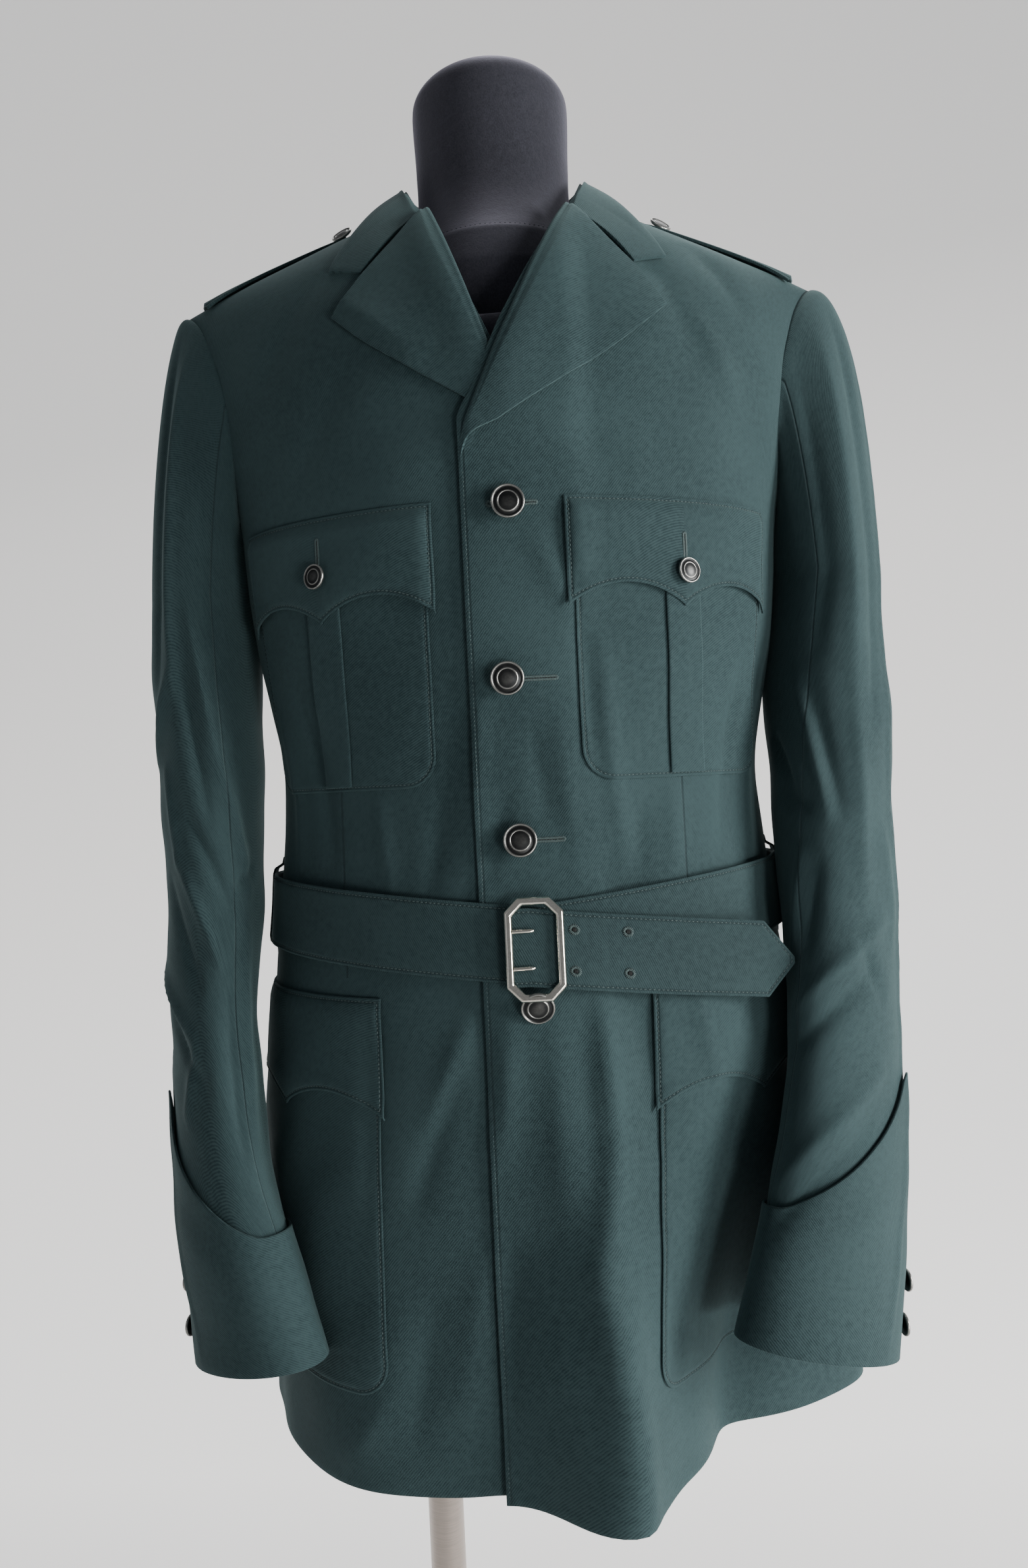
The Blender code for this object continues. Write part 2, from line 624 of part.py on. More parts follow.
def belt(mat):
    half = BELT_WIDTH / 2
    turns = np.linspace(-pi, pi, 49)[:-1]
    rows = [[(a, belt_height(a) + half * k) for a in turns] for k in (-1, 0, 1)]
    laid("belt", rows, BELT_LIFT, BELT, mat, ring=True)
    # the free end lies over the belt, then runs straight on past the body
    leave = 0.075
    inner, outer = [], []
    for k in np.linspace(-1, 1, 5):
        inner_row, outer_row = [], []
        for x in (-0.0125, 0.005, 0.022, 0.04, 0.058, leave, 0.1, 0.125, 0.145):
            end = TIP_X - 0.021 * abs(k) if x == 0.145 else x
            z = BELT_FRONT - 0.001 - 0.022 * max(end, 0) / TIP_X + half * k
            for row, out in ((inner_row, 0.0), (outer_row, BELT)):
                flat = min(end, leave)
                base = cloth(*chart(flat, z), BELT_LIFT + BELT + LAY + out)
                ahead = cloth(*chart(flat + 0.004, z), BELT_LIFT + BELT + LAY + out) - base
                row.append(base + ahead / ahead[0] * (end - flat))
        inner.append(inner_row)
        outer.append(outer_row)
    wall("belt_end", np.array(inner), np.array(outer), mat)
    for side, tag in ((1, "left"), (-1, "right")):
        inner, outer = [], []
        over = BELT_LIFT + BELT + GAP
        for dz, lift in ((0.033, WALL), (0.027, over), (0, over), (-0.027, over), (-0.033, WALL)):
            z = belt_height(pi / 2) + dz
            spots = [side * radians(a) for a in (88.5, 90, 91.5, 93)]
            inner.append([cloth(a, z, lift + LAY) for a in spots])
            outer.append([cloth(a, z, lift + LAY + TRIM) for a in spots])
        wall(f"belt_loop_{tag}", np.array(inner), np.array(outer), mat)


def octagon(wide, tall, corner):
    w, h = wide / 2, tall / 2
    return [(-w + corner, -h), (w - corner, -h), (w, -h + corner), (w, h - corner),
            (w - corner, h), (-w + corner, h), (-w, h - corner), (-w, -h + corner)]


def buckle(mat):
    """An eight-sided frame with two prongs, flat over the belt's free end."""
    x, z = 0.003, BELT_FRONT - 0.001
    lift = BELT_LIFT + 2 * BELT + LAY + GAP
    high = min(cloth(*chart(x + s, z + BELT_WIDTH / 2), lift)[1] for s in (-0.012, 0, 0.012))
    low = min(cloth(*chart(x + s, z - BELT_WIDTH / 2), lift)[1] for s in (-0.012, 0, 0.012))
    plane = lambda dz: (high + low) / 2 + (high - low) / BELT_WIDTH * dz
    rings = (
        (octagon(BUCKLE_W, BUCKLE_H, 0.0085), 0.0),
        (octagon(BUCKLE_W, BUCKLE_H, 0.0085), BUCKLE_DEEP * 0.5),
        (octagon(BUCKLE_W - BUCKLE_BAR, BUCKLE_H - BUCKLE_BAR, 0.0075), BUCKLE_DEEP),
        (octagon(BUCKLE_W - 2 * BUCKLE_BAR, BUCKLE_H - 2 * BUCKLE_BAR, 0.0062), BUCKLE_DEEP * 0.6),
        (octagon(BUCKLE_W - 2 * BUCKLE_BAR, BUCKLE_H - 2 * BUCKLE_BAR, 0.0062), 0.0),
    )
    verts, faces = [], []
    for shape, deep in rings:
        verts += [(x + px, plane(pz) - deep, z + pz) for px, pz in shape]
    for r in range(5):
        for i in range(8):
            j, s = (i + 1) % 8, (r + 1) % 5
            faces.append((r * 8 + i, r * 8 + j, s * 8 + j, s * 8 + i))
    solid("buckle_frame", verts, faces, mat, smooth=False)
    for i, dz in enumerate((0.011, -0.011)):
        bpy.ops.mesh.primitive_cylinder_add(vertices=10, radius=0.0011, depth=0.0085, rotation=(0, pi / 2, 0),
                                            location=(x - 0.0083, plane(dz) - 0.0011, z + dz))
        prong = bpy.context.object
        prong.name = f"buckle_prong_{i + 1}"
        prong.data.materials.append(mat)


def form_gap(height):
    """How far the form stays inside the cloth; the cloth hangs on it at the shoulders."""
    share = max(0.0, (height - CHEST) / (RIDGE - CHEST))
    if height > CHEST:
        return 0.010 - 0.0091 * ease(share / 0.85)
    return 0.010 + 0.004 * ease((CHEST - height) / 0.1) + FORM_TAPER * ease((0.90 - height) / 0.2)


def dress_form(mat, turns=32):
    """The padded trunk, its top closed along the shoulders, with the neck joined on."""
    heights = list(np.linspace(FORM_LOW, CHEST, 12)) + [yoke_height(s) for s in (0.12, 0.28, 0.45, 0.62, 0.78, 0.9, 0.96)]
    verts, faces = [], []
    for height in heights:
        share = max(0.0, (height - CHEST) / (RIDGE - CHEST))
        for i in range(turns):
            angle = 2 * pi * i / turns
            low = min(height, CHEST)
            point = cloth(angle, height, -form_gap(height) - swell(angle, height))
            point[0] *= 1 - 0.10 * ease(share * 2.5) * abs(sin(angle)) ** 3
            if height == FORM_LOW:
                point[2] = FORM_LOW
            verts.append(point)
    for r in range(len(heights) - 1):
        for i in range(turns):
            j = (i + 1) % turns
            faces.append((r * turns + i, r * turns + j, (r + 1) * turns + j, (r + 1) * turns + i))
    faces.append(tuple(range(turns))[::-1])
    last = (len(heights) - 1) * turns
    half = turns // 2
    # the two faces of the shoulders meet along the seam: angle a faces angle pi - a
    pair = lambda i: last + (half - i) % turns
    quarter = turns // 4
    for i in range(-quarter, quarter):
        a, b = last + i % turns, last + (i + 1) % turns
        c, d = pair(i + 1), pair(i)
        ring = [v for k, v in enumerate((a, b, c, d)) if v not in (a, b, c, d)[:k]]
        faces.append(tuple(ring))
    body = solid("dress_form", verts, faces, mat)
    verts, faces = [], []
    top = FORM_TOP
    rows = ((1.400, 0.072), (1.440, 0.0590), (1.465, 0.0545), (1.500, 0.0545), (1.545, 0.0555),
            (top - 0.018, 0.0535), (top - 0.008, 0.0465), (top - 0.002, 0.0340), (top, 0.018))
    for z, r in rows:
        verts += [(r * sin(2 * pi * i / 28), 0.004 - r * 1.02 * cos(2 * pi * i / 28), z) for i in range(28)]
    for k in range(len(rows) - 1):
        for i in range(28):
            j = (i + 1) % 28
            faces.append((k * 28 + i, k * 28 + j, (k + 1) * 28 + j, (k + 1) * 28 + i))
    faces.append(tuple(range(28))[::-1])
    faces.append(tuple(range((len(rows) - 1) * 28, len(rows) * 28)))
    neck = solid("form_neck_tool", verts, faces, mat)
    neck.hide_render = True
    neck.display_type = "WIRE"
    join = body.modifiers.new("neck", "BOOLEAN")
    join.operation = "UNION"
    join.solver = "MANIFOLD"
    join.object = neck
    return body


def stand(steel, mat):
    bpy.ops.mesh.primitive_cylinder_add(vertices=24, radius=POLE_R, depth=FORM_LOW - BASE_T - 2 * GAP - 0.0004,
                                        location=(POLE_X, POLE_Y, (FORM_LOW + BASE_T) / 2))
    bpy.context.object.name = "stand_pole"
    bpy.context.object.data.materials.append(steel)
    bpy.ops.mesh.primitive_cylinder_add(vertices=48, radius=BASE_R, depth=BASE_T, location=(POLE_X, POLE_Y, BASE_T / 2))
    bpy.context.object.name = "stand_base"
    bpy.context.object.data.materials.append(mat)


def main():
    clear_scene()
    green = material("tunic_cloth", (0.010, 0.035, 0.032), 0.85)
    trim = material("tunic_trim", (0.011, 0.037, 0.034), 0.85)
    black = material("form_jersey", (0.008, 0.008, 0.011), 0.9)
    horn = material("button_black", (0.012, 0.013, 0.015), 0.35, 0.6)
    steel = material("buckle_steel", (0.75, 0.73, 0.68), 0.2, 1.0)
    for side in (1, -1):
        front(side, green)
        back(side, green)
        sleeve(side, "top", green)
        sleeve(side, "under", green)
        cuff(side, trim)
        lapel(side, trim)
        epaulette(side, trim)
        pockets(side, trim)
    collar(trim)
    buttons(horn)
    belt(trim)
    buckle(steel)
    dress_form(black)
    stand(steel, black)


main()
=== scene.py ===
# %% [markdown]
# # A service dress tunic on its dress form
# This lesson dresses a finished frame of solids: a dark green tunic with lapels, patch pockets, shoulder
# straps, pointed cuffs and a cloth belt, worn by a limbless form on a pole. The frame gives the sizes.
# Everything here gives the looks: fine cloth, creases, stitches, buttons and light.

from math import cos, pi, radians, sin

import bpy
import numpy as np
from mathutils import Matrix, Vector


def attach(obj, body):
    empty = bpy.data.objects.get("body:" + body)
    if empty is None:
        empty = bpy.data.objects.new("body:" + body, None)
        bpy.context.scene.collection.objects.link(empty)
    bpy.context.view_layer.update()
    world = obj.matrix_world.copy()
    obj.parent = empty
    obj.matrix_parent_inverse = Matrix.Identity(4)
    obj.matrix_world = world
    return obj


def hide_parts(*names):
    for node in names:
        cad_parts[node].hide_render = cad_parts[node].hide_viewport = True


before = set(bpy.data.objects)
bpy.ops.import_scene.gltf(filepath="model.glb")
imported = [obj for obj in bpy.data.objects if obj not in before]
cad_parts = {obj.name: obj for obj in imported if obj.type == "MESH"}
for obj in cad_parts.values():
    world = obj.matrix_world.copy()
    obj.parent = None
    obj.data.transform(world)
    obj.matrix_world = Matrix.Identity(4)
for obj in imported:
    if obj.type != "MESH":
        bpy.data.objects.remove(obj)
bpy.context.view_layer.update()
bpy.ops.object.select_all(action="DESELECT")
print("CAD nodes:", len(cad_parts))

# %% [markdown]
# ## The camera
# The photograph was taken about 0.85 m in front of the form, a little over the waist, with a wide lens and a
# slight roll. A camera that looks along +Y needs its own axes: right, up, and backwards. Turning right
# and up by the roll gives the small tilt that the photograph shows.

# %% Place the camera
PHOTO = (1561, 2380)
FOCAL_PIXELS = 1787
EYE = Vector((-0.005, -0.845, 1.06))
ROLL = radians(2.7)

lens = bpy.data.cameras.new("photo_camera")
lens.sensor_fit = "HORIZONTAL"
lens.sensor_width = 36
lens.lens = FOCAL_PIXELS / PHOTO[0] * lens.sensor_width
camera = bpy.data.objects.new("photo_camera", lens)
right = Vector((cos(ROLL), 0, -sin(ROLL)))
up = Vector((sin(ROLL), 0, cos(ROLL)))
camera.matrix_world = Matrix.Translation(EYE) @ Matrix((right, up, (0, -1, 0))).transposed().to_4x4()
bpy.context.scene.collection.objects.link(camera)
bpy.context.scene.camera = camera
print("lens", round(lens.lens, 1), "mm")

# %% [markdown]
# ## The shape of the tunic
# The tunic is one smooth body. A level section is an ellipse whose front and back have their own depth.
# Above the chest the section arches over to the shoulder seam. A place on the cloth is named by its
# angle round the body, 0 at the front middle, and by its height. These few tables follow the
# frame's own, but the shoulders, sleeves and neck are a little narrower, as the photograph shows them.

# %% Sizes of the body
TAGS = {1: "left", -1: "right"}
WALL = 0.0018
TRIM = 0.0014
LAY = 0.0011
HEM = {1: 0.637, -1: 0.641}
HEM_BACK = 0.636
CHEST = 1.240
RIDGE = 1.468
BREAK = 1.268
SHOULDER = 0.2315
RIDGE_Y = 0.012
SLOPE = 0.385
NECK = 0.062
EDGE = -0.029
UNDER = 0.014
NAPE = 0.66
# height, half width, depth of the front, depth of the back
TRUNK = (
    (0.600, 0.1935, 0.156, 0.158),
    (0.700, 0.192, 0.151, 0.153),
    (0.800, 0.190, 0.146, 0.148),
    (0.900, 0.181, 0.137, 0.136),
    (0.990, 0.171, 0.128, 0.122),
    (1.075, 0.166, 0.124, 0.113),
    (1.160, 0.180, 0.131, 0.118),
    (1.240, 0.188, 0.133, 0.122),
)
# folds of the skirt: angle, spread, swell at the hem, height where the fold dies out
FOLDS = (
    (10.5, 9, 0.033, 0.96),
    (47, 16, -0.040, 0.90),
    (86, 12, 0.028, 0.90),
    (-8, 7, -0.004, 0.90),
    (-36, 15, 0.012, 0.93),
    (-76, 12, -0.006, 0.90),
    (138, 13, 0.012, 0.92),
    (165, 9, -0.008, 0.88),
    (-165, 9, -0.006, 0.88),
    (-138, 13, 0.012, 0.92),
)
ARMHOLE = ((0.0, 88.0), (0.12, 73.0), (0.28, 69.0), (0.5, 71.5), (0.75, 76.5), (1.0, 82.0))


# %% Read a table smoothly
def ease(x):
    """A soft step from 0 to 1."""
    x = np.clip(x, 0.0, 1.0)
    return x * x * (3 - 2 * x)


def read(rows, at, column):
    """A column's value, on a smooth curve through the rows; the first column is the key."""
    table = np.array(rows, float)
    if table[0, 0] > table[-1, 0]:
        table = table[::-1]
    keys, values = table[:, 0], table[:, column]
    at = np.clip(at, keys[0], keys[-1])
    slopes = np.gradient(values, keys)
    i = np.clip(np.searchsorted(keys, at) - 1, 0, len(keys) - 2)
    step = keys[i + 1] - keys[i]
    t = (at - keys[i]) / step
    return (
        (2 * t**3 - 3 * t**2 + 1) * values[i] + (t**3 - 2 * t**2 + t) * step * slopes[i]
        + (3 * t**2 - 2 * t**3) * values[i + 1] + (t**3 - t**2) * step * slopes[i + 1]
    )


# %% [markdown]
# numpy works on whole grids of places at once, so a panel of fifteen thousand points is shaped in one call.

# %% Points of the trunk
def swell(angle, height):
    """How far the skirt's folds stand out."""
    out = 0.0
    for at, spread, size, top in FOLDS:
        away = (np.degrees(angle) - at + 180) % 360 - 180
        out = out + size * np.exp(-((away / spread) ** 2)) * ease((top - height) / (top - 0.63))
    return out


def ridge(x):
    """Height of the shoulder seam."""
    return RIDGE - SLOPE * (np.abs(x) - NECK)


def trunk(angle, height):
    """The point of the trunk at an angle and a height, before any crease."""
    angle, height = np.broadcast_arrays(np.asarray(angle, float), np.asarray(height, float))
    low = np.minimum(height, CHEST)
    wide = read(TRUNK, low, 1)
    deep = np.where(np.cos(angle) > 0, read(TRUNK, low, 2), read(TRUNK, low, 3))
    fold = swell(angle, height)
    share = np.clip((height - CHEST) / (RIDGE - CHEST), 0, 1)
    arch = share * pi / 2
    x = np.sin(angle) * (wide + fold + (SHOULDER - wide) * share)
    y = RIDGE_Y + (-(deep + fold) * np.cos(angle) - RIDGE_Y) * np.cos(arch)
    z = np.where(share > 0, CHEST + (ridge(x) - CHEST) * np.sin(arch), height)
    return np.stack((x, y, z), -1)


def normal_of(angle, height):
    step = 0.004
    top = np.minimum(np.asarray(height, float) + step, RIDGE)
    across = trunk(angle + 5 * step, height) - trunk(angle - 5 * step, height)
    rise = trunk(angle, top) - trunk(angle, top - 2 * step)
    out = np.cross(across, rise)
    return out / np.linalg.norm(out, axis=-1, keepdims=True)


def cloth(angle, height, out=0.0):
    return trunk(angle, height) + normal_of(angle, height) * np.asarray(out, float)[..., None]


def chart(x, z):
    """Angle and height of the front's point at a width and a height seen from ahead."""
    x, z = np.broadcast_arrays(np.asarray(x, float), np.asarray(z, float))
    arch = np.arcsin(np.clip((z - CHEST) / (ridge(x) - CHEST), 0, 1))
    share = arch / (pi / 2)
    low = np.minimum(z, CHEST)
    wide = read(TRUNK, low, 1)
    wide = wide + (SHOULDER - wide) * share
    return np.arcsin(np.clip(x / wide, -1, 1)), np.where(z <= CHEST, z, CHEST + share * (RIDGE - CHEST))


def width_at(height):
    """Half the width at a height, and the share of the way from chest to shoulder."""
    share = np.clip((height - CHEST) / (RIDGE - CHEST), 0, 1)
    wide = read(TRUNK, np.minimum(height, CHEST), 1)
    return wide + (SHOULDER - wide) * share, share


# %% [markdown]
# Pockets are measured round the cloth from the front middle, as a tailor's tape would. A table of arc
# lengths is made once for each side and then read backwards, from a length to an angle.

# %% From a length round the cloth to an angle
TAPE_HEIGHTS = np.linspace(0.62, CHEST, 90)
TAPE_LENGTHS = np.linspace(0.0, 0.42, 169)
TAPE = {}
for side in (1, -1):
    turns = np.radians(np.arange(0, 181))
    rows = []
    for height in TAPE_HEIGHTS:
        line = trunk(side * turns, height)
        gone = np.concatenate(([0], np.cumsum(np.linalg.norm(np.diff(line, axis=0), axis=1))))
        rows.append(np.interp(TAPE_LENGTHS, gone, turns))
    TAPE[side] = np.array(rows)


def round_to(side, length, z):
    """The angle at a length round the cloth from the front middle."""
    length, z = np.broadcast_arrays(np.asarray(length, float), np.asarray(z, float))
    i = np.clip((z - TAPE_HEIGHTS[0]) / (TAPE_HEIGHTS[1] - TAPE_HEIGHTS[0]), 0, len(TAPE_HEIGHTS) - 1.001)
    j = np.clip(length / (TAPE_LENGTHS[1] - TAPE_LENGTHS[0]), 0, len(TAPE_LENGTHS) - 1.001)
    a, b = i.astype(int), j.astype(int)
    s, t, tape = i - a, j - b, TAPE[side]
    low = tape[a, b] * (1 - t) + tape[a, b + 1] * t
    high = tape[a + 1, b] * (1 - t) + tape[a + 1, b + 1] * t
    return side * (low * (1 - s) + high * s)


# %% [markdown]
# ## Creases
# Worn cloth is never quite smooth. Each crease is a soft line from one place to another with a width and
# a height: a ridge is positive, a trough negative, and both fade out at their ends. Under them lies a
# slow unevenness of a few tenths of a millimetre, made of a few crossing waves.

# %% Creases of the trunk
METRES_PER_DEGREE = 0.0031
BELT_MIDDLE, BELT_RISE = 0.962, 0.019
# from angle, height; to angle, height; width; height
CREASES = (
    (12, 1.190, 16, 1.060, 0.0065, -0.0034),
    (17, 1.150, 21, 1.010, 0.0075, 0.0034),
    (8, 1.110, 11, 0.995, 0.0070, 0.0024),
    (3, 1.215, 13, 1.150, 0.0060, 0.0022),
    (2, 1.100, 5, 1.035, 0.0050, -0.0018),
    (24, 1.375, 42, 1.300, 0.0110, -0.0036),
    (32, 1.345, 50, 1.285, 0.0090, 0.0028),
    (36, 1.400, 52, 1.340, 0.0110, -0.0024),
    (10, 1.262, 24, 1.245, 0.0080, -0.0022),
    (6, 1.020, 28, 0.988, 0.0070, -0.0024),
    (35, 1.060, 32, 0.985, 0.0080, 0.0026),
    (26, 1.050, 24, 0.990, 0.0070, -0.0022),
    (-7, 1.130, -12, 1.000, 0.0075, 0.0026),
    (-3, 1.060, -9, 0.995, 0.0060, -0.0022),
    (-16, 1.070, -21, 0.985, 0.0075, -0.0026),
    (-28, 1.300, -46, 1.250, 0.0110, -0.0026),
    (-14, 1.290, -32, 1.345, 0.0100, 0.0022),
    (-32, 1.370, -55, 1.300, 0.0120, -0.0024),
    (-33, 1.060, -29, 0.985, 0.0070, 0.0024),
    (-55, 1.140, -46, 1.000, 0.0100, -0.0034),
    (-66, 1.120, -60, 1.000, 0.0090, 0.0028),
    (58, 1.140, 48, 1.000, 0.0100, -0.0034),
    (68, 1.120, 60, 1.000, 0.0090, 0.0028),
    (13.6, 0.935, 13.0, 0.830, 0.0065, 0.0050),
    (13.2, 0.852, 8.7, 0.762, 0.0060, 0.0054),
    (8.7, 0.785, 12.0, 0.690, 0.0060, 0.0052),
    (11.6, 0.712, 12.2, 0.625, 0.0070, 0.0052),
    (9.6, 0.925, 9.0, 0.800, 0.0080, -0.0028),
    (4.6, 0.780, 8.0, 0.660, 0.0080, -0.0026),
    (4, 0.930, 4, 0.800, 0.0070, 0.0016),
    (20, 0.940, 22, 0.830, 0.0080, -0.0026),
    (33, 0.940, 37, 0.860, 0.0080, 0.0024),
    (26, 0.800, 24, 0.690, 0.0090, 0.0020),
    (-4, 0.930, -7, 0.830, 0.0070, 0.0024),
    (-10, 0.930, -8, 0.850, 0.0055, -0.0022),
    (-12, 0.925, -21, 0.850, 0.0070, 0.0030),
    (-15, 0.890, -24, 0.800, 0.0075, -0.0026),
    (-10, 0.790, -16, 0.680, 0.0110, 0.0046),
    (-5.5, 0.790, -8, 0.660, 0.0070, -0.0032),
    (-20, 0.760, -25, 0.660, 0.0090, -0.0030),
    (-28, 0.700, -38, 0.650, 0.0080, 0.0022),
    (-34, 0.930, -32, 0.800, 0.0090, -0.0022),
    (140, 1.080, 135, 0.995, 0.0080, 0.0032),
    (150, 1.090, 153, 0.995, 0.0080, -0.0032),
    (-150, 1.090, -155, 0.995, 0.0080, 0.0032),
    (-137, 1.080, -131, 0.995, 0.0080, -0.0032),
    (120, 1.180, 132, 1.050, 0.0110, -0.0034),
    (-120, 1.180, -132, 1.050, 0.0110, -0.0034),
    (126, 1.200, 142, 1.090, 0.0090, 0.0028),
    (-126, 1.200, -142, 1.090, 0.0090, 0.0028),
    (145, 0.940, 150, 0.760, 0.0090, 0.0038),
    (136, 0.940, 138, 0.800, 0.0080, -0.0030),
    (-147, 0.940, -144, 0.740, 0.0090, 0.0038),
    (-156, 0.940, -158, 0.780, 0.0080, -0.0030),
    (168, 0.940, 166, 0.800, 0.0080, 0.0026),
    (-115, 1.320, -142, 1.270, 0.0120, -0.0026),
    (115, 1.320, 142, 1.260, 0.0120, -0.0026),
    (176, 1.150, 172, 1.030, 0.0080, 0.0022),
)
# slow waves: three wave numbers, phase, height
WAVES = (
    (62, 20, 31, 0.4, 0.00032),
    (-48, 35, 52, 1.7, 0.00028),
    (21, -66, 74, 2.9, 0.00024),
    (95, 40, -38, 4.2, 0.00018),
    (-30, 80, 118, 5.1, 0.00014),
)


def creased(rows, across, along, scale):
    """The height of all creases at each place; scale turns degrees into metres."""
    total = 0.0
    for a0, z0, a1, z1, wide, tall in rows:
        gap = np.stack(((across - a0) * scale, along - z0), -1)
        run = np.array(((a1 - a0) * scale, z1 - z0))
        t = np.clip(gap @ run / (run @ run), 0, 1)
        away = np.linalg.norm(gap - t[..., None] * run, axis=-1)
        total = total + tall * np.exp(-((away / wide) ** 1.5)) * np.sin(pi * t) ** 0.7
    return total


def uneven(points):
    """The slow unevenness at each point."""
    total = 0.0
    for kx, ky, kz, phase, tall in WAVES:
        total = total + tall * np.sin(points @ np.array((kx, ky, kz)) + phase)
    return total


def over_under(angle, height):
    """How far the left front rides out to pass over the right one and, higher up, over its lapel."""
    x = width_at(height)[0] * np.sin(angle)
    lift = WALL + LAY + 0.0010 * ease((0.80 - height) / 0.08) + 0.0012 * ease((height - 1.245) / 0.02)
    fade = (1 - ease((x - UNDER - 0.022) / 0.02)) * (1 - ease((height - BREAK - 0.06) / 0.06))
    return np.where(x > EDGE - 0.002, lift * fade, 0.0)


def tunic(angle, height, out=0.0, over=True):
    """A point over the trunk's cloth with its creases."""
    angle, height = np.broadcast_arrays(np.asarray(angle, float), np.asarray(height, float))
    rise = creased(CREASES, np.degrees(angle), height, METRES_PER_DEGREE)
    belted = BELT_MIDDLE + BELT_RISE * np.sin(np.minimum(np.abs(angle), pi / 2))
    rise = rise * (1 - 0.85 * np.exp(-(((height - belted) / 0.027) ** 4)))
    calm = 1 - ease((height - 1.40) / 0.05)
    rise = (rise + uneven(trunk(angle, height))) * calm
    if over:
        rise = rise + over_under(angle, height)
    return cloth(angle, height, rise + out)


# %% [markdown]
# ## From a grid of points to a sheet of cloth
# Each piece of cloth starts as a grid primitive. Its points are moved to their places on the body, its
# UV map is written in metres so that the weave has the same size on every piece, and a Solidify modifier
# gives it its thickness. A fine bevel takes the hardness off the cut edge. Closed pieces, such as a cuff,
# have their first and last columns merged.

# %% Helper that makes a sheet
PIECES = {}
# a distance at which stitches and seams leave no mark
FAR = 0.05


def apply_modifiers(piece):
    bpy.ops.object.select_all(action="DESELECT")
    piece.select_set(True)
    bpy.context.view_layer.objects.active = piece
    for modifier in list(piece.modifiers):
        bpy.ops.object.modifier_apply(modifier=modifier.name)


def write_attribute(piece, name, values):
    layer = piece.data.attributes.new(name, "FLOAT", "POINT")
    layer.data.foreach_set("value", np.asarray(values, np.float32).reshape(-1))


def grid_piece(name, points):
    """A grid primitive with its points moved to their places."""
    rows, columns = points.shape[:2]
    bpy.ops.mesh.primitive_grid_add(x_subdivisions=columns - 1, y_subdivisions=rows - 1, size=1)
    piece = bpy.context.object
    piece.name = piece.data.name = name
    piece.data.vertices.foreach_set("co", np.ascontiguousarray(points, np.float32).reshape(-1))
    return piece


def merge_points(within, outwards=True):
    """Merges the active piece's doubled points and turns its faces outwards."""
    bpy.ops.object.mode_set(mode="EDIT")
    bpy.ops.mesh.select_all(action="SELECT")
    bpy.ops.mesh.remove_doubles(threshold=within)
    if outwards:
        bpy.ops.mesh.normals_make_consistent(inside=False)
    bpy.ops.object.mode_set(mode="OBJECT")


def metre_uv(points):
    """Widths and lengths along the grid's own lines, in metres."""
    across = np.linalg.norm(np.diff(points, axis=1), axis=2)
    along = np.linalg.norm(np.diff(points, axis=0), axis=2)
    u = np.concatenate((np.zeros((points.shape[0], 1)), np.cumsum(across, axis=1)), axis=1)
    u = u - u.mean(axis=1, keepdims=True)
    v = np.concatenate((np.zeros((1, points.shape[1])), np.cumsum(along, axis=0)), axis=0)
    return np.stack((u, v), -1)


def flat_area(points):
    """The summed area of a grid's cells."""
    a, b = points[1:, 1:] - points[:-1, :-1], points[1:, :-1] - points[:-1, 1:]
    return float(np.linalg.norm(np.cross(a, b), axis=2).sum() / 2)


def sheet_of(name, points, thick, finish, nodes, uv=None, marks=None, ring=False, bevel=0.0004):
    """A piece of cloth from a grid of points on its outer side; marks are the shader's distances."""
    piece = grid_piece(name, points)
    mesh = piece.data
    uv = metre_uv(points) if uv is None else uv
    corners = np.zeros(len(mesh.loops), int)
    mesh.loops.foreach_get("vertex_index", corners)
    mesh.uv_layers[0].data.foreach_set("uv", uv.reshape(-1, 2)[corners].astype(np.float32).reshape(-1))
    for label in ("stitched", "seam"):
        values = (marks or {}).get(label, np.full(points.shape[:2], FAR))
        write_attribute(piece, label, values)
    if ring:
        merge_points(0.00001, outwards=False)
    solidify = piece.modifiers.new("thickness", "SOLIDIFY")
    solidify.thickness = thick
    solidify.offset = -1
    if bevel:
        soft = piece.modifiers.new("soft_edge", "BEVEL")
        soft.width = bevel
        soft.segments = 2
        soft.limit_method = "ANGLE"
        soft.angle_limit = radians(55)
    apply_modifiers(piece)
    bpy.ops.object.shade_smooth_by_angle(angle=radians(60))
    finish_piece(piece, finish, nodes)
    area = flat_area(points)
    across = np.linalg.norm(np.diff(points, axis=1), axis=2).sum(axis=1).max()
    along = np.linalg.norm(np.diff(points, axis=0), axis=2).sum(axis=0).max()
    print(f"{name}: cut {across:.3f} by {along:.3f} m, area {area:.4f} m2")
    PIECES[name] = piece
    return piece


def finish_piece(piece, finish, nodes=()):
    """Gives a piece its material, ties it to the frame and hides the frame's nodes it replaces."""
    slot, made = FINISHES[finish]
    piece.data.materials.clear()
    piece.data.materials.append(made)
    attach(piece, "root")
    if nodes:
        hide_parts(*nodes)

# %% [markdown]
# ## Materials
# The cloth is a wool barathea: a fine twill with slanting lines about a millimetre apart, a short nap and
# a dull sheen. Two wave textures on the metre UV map give the slanting lines and the finer yarn across
# them, a noise breaks the yarns up, and a slower noise lets the colour drift a little. Two attributes
# written on each piece say how far a point lies from a stitched edge and from a seam, so the cloth can
# sink under the stitches and into the seam; there its colour is also darkened, a painted shade.

# %% Node helpers
def new_material(name, rough, metal=0.0):
    made = bpy.data.materials.new(name)
    made.use_nodes = True
    shader = made.node_tree.nodes["Principled BSDF"]
    shader.inputs["Roughness"].default_value = rough
    shader.inputs["Metallic"].default_value = metal
    return made, made.node_tree, shader


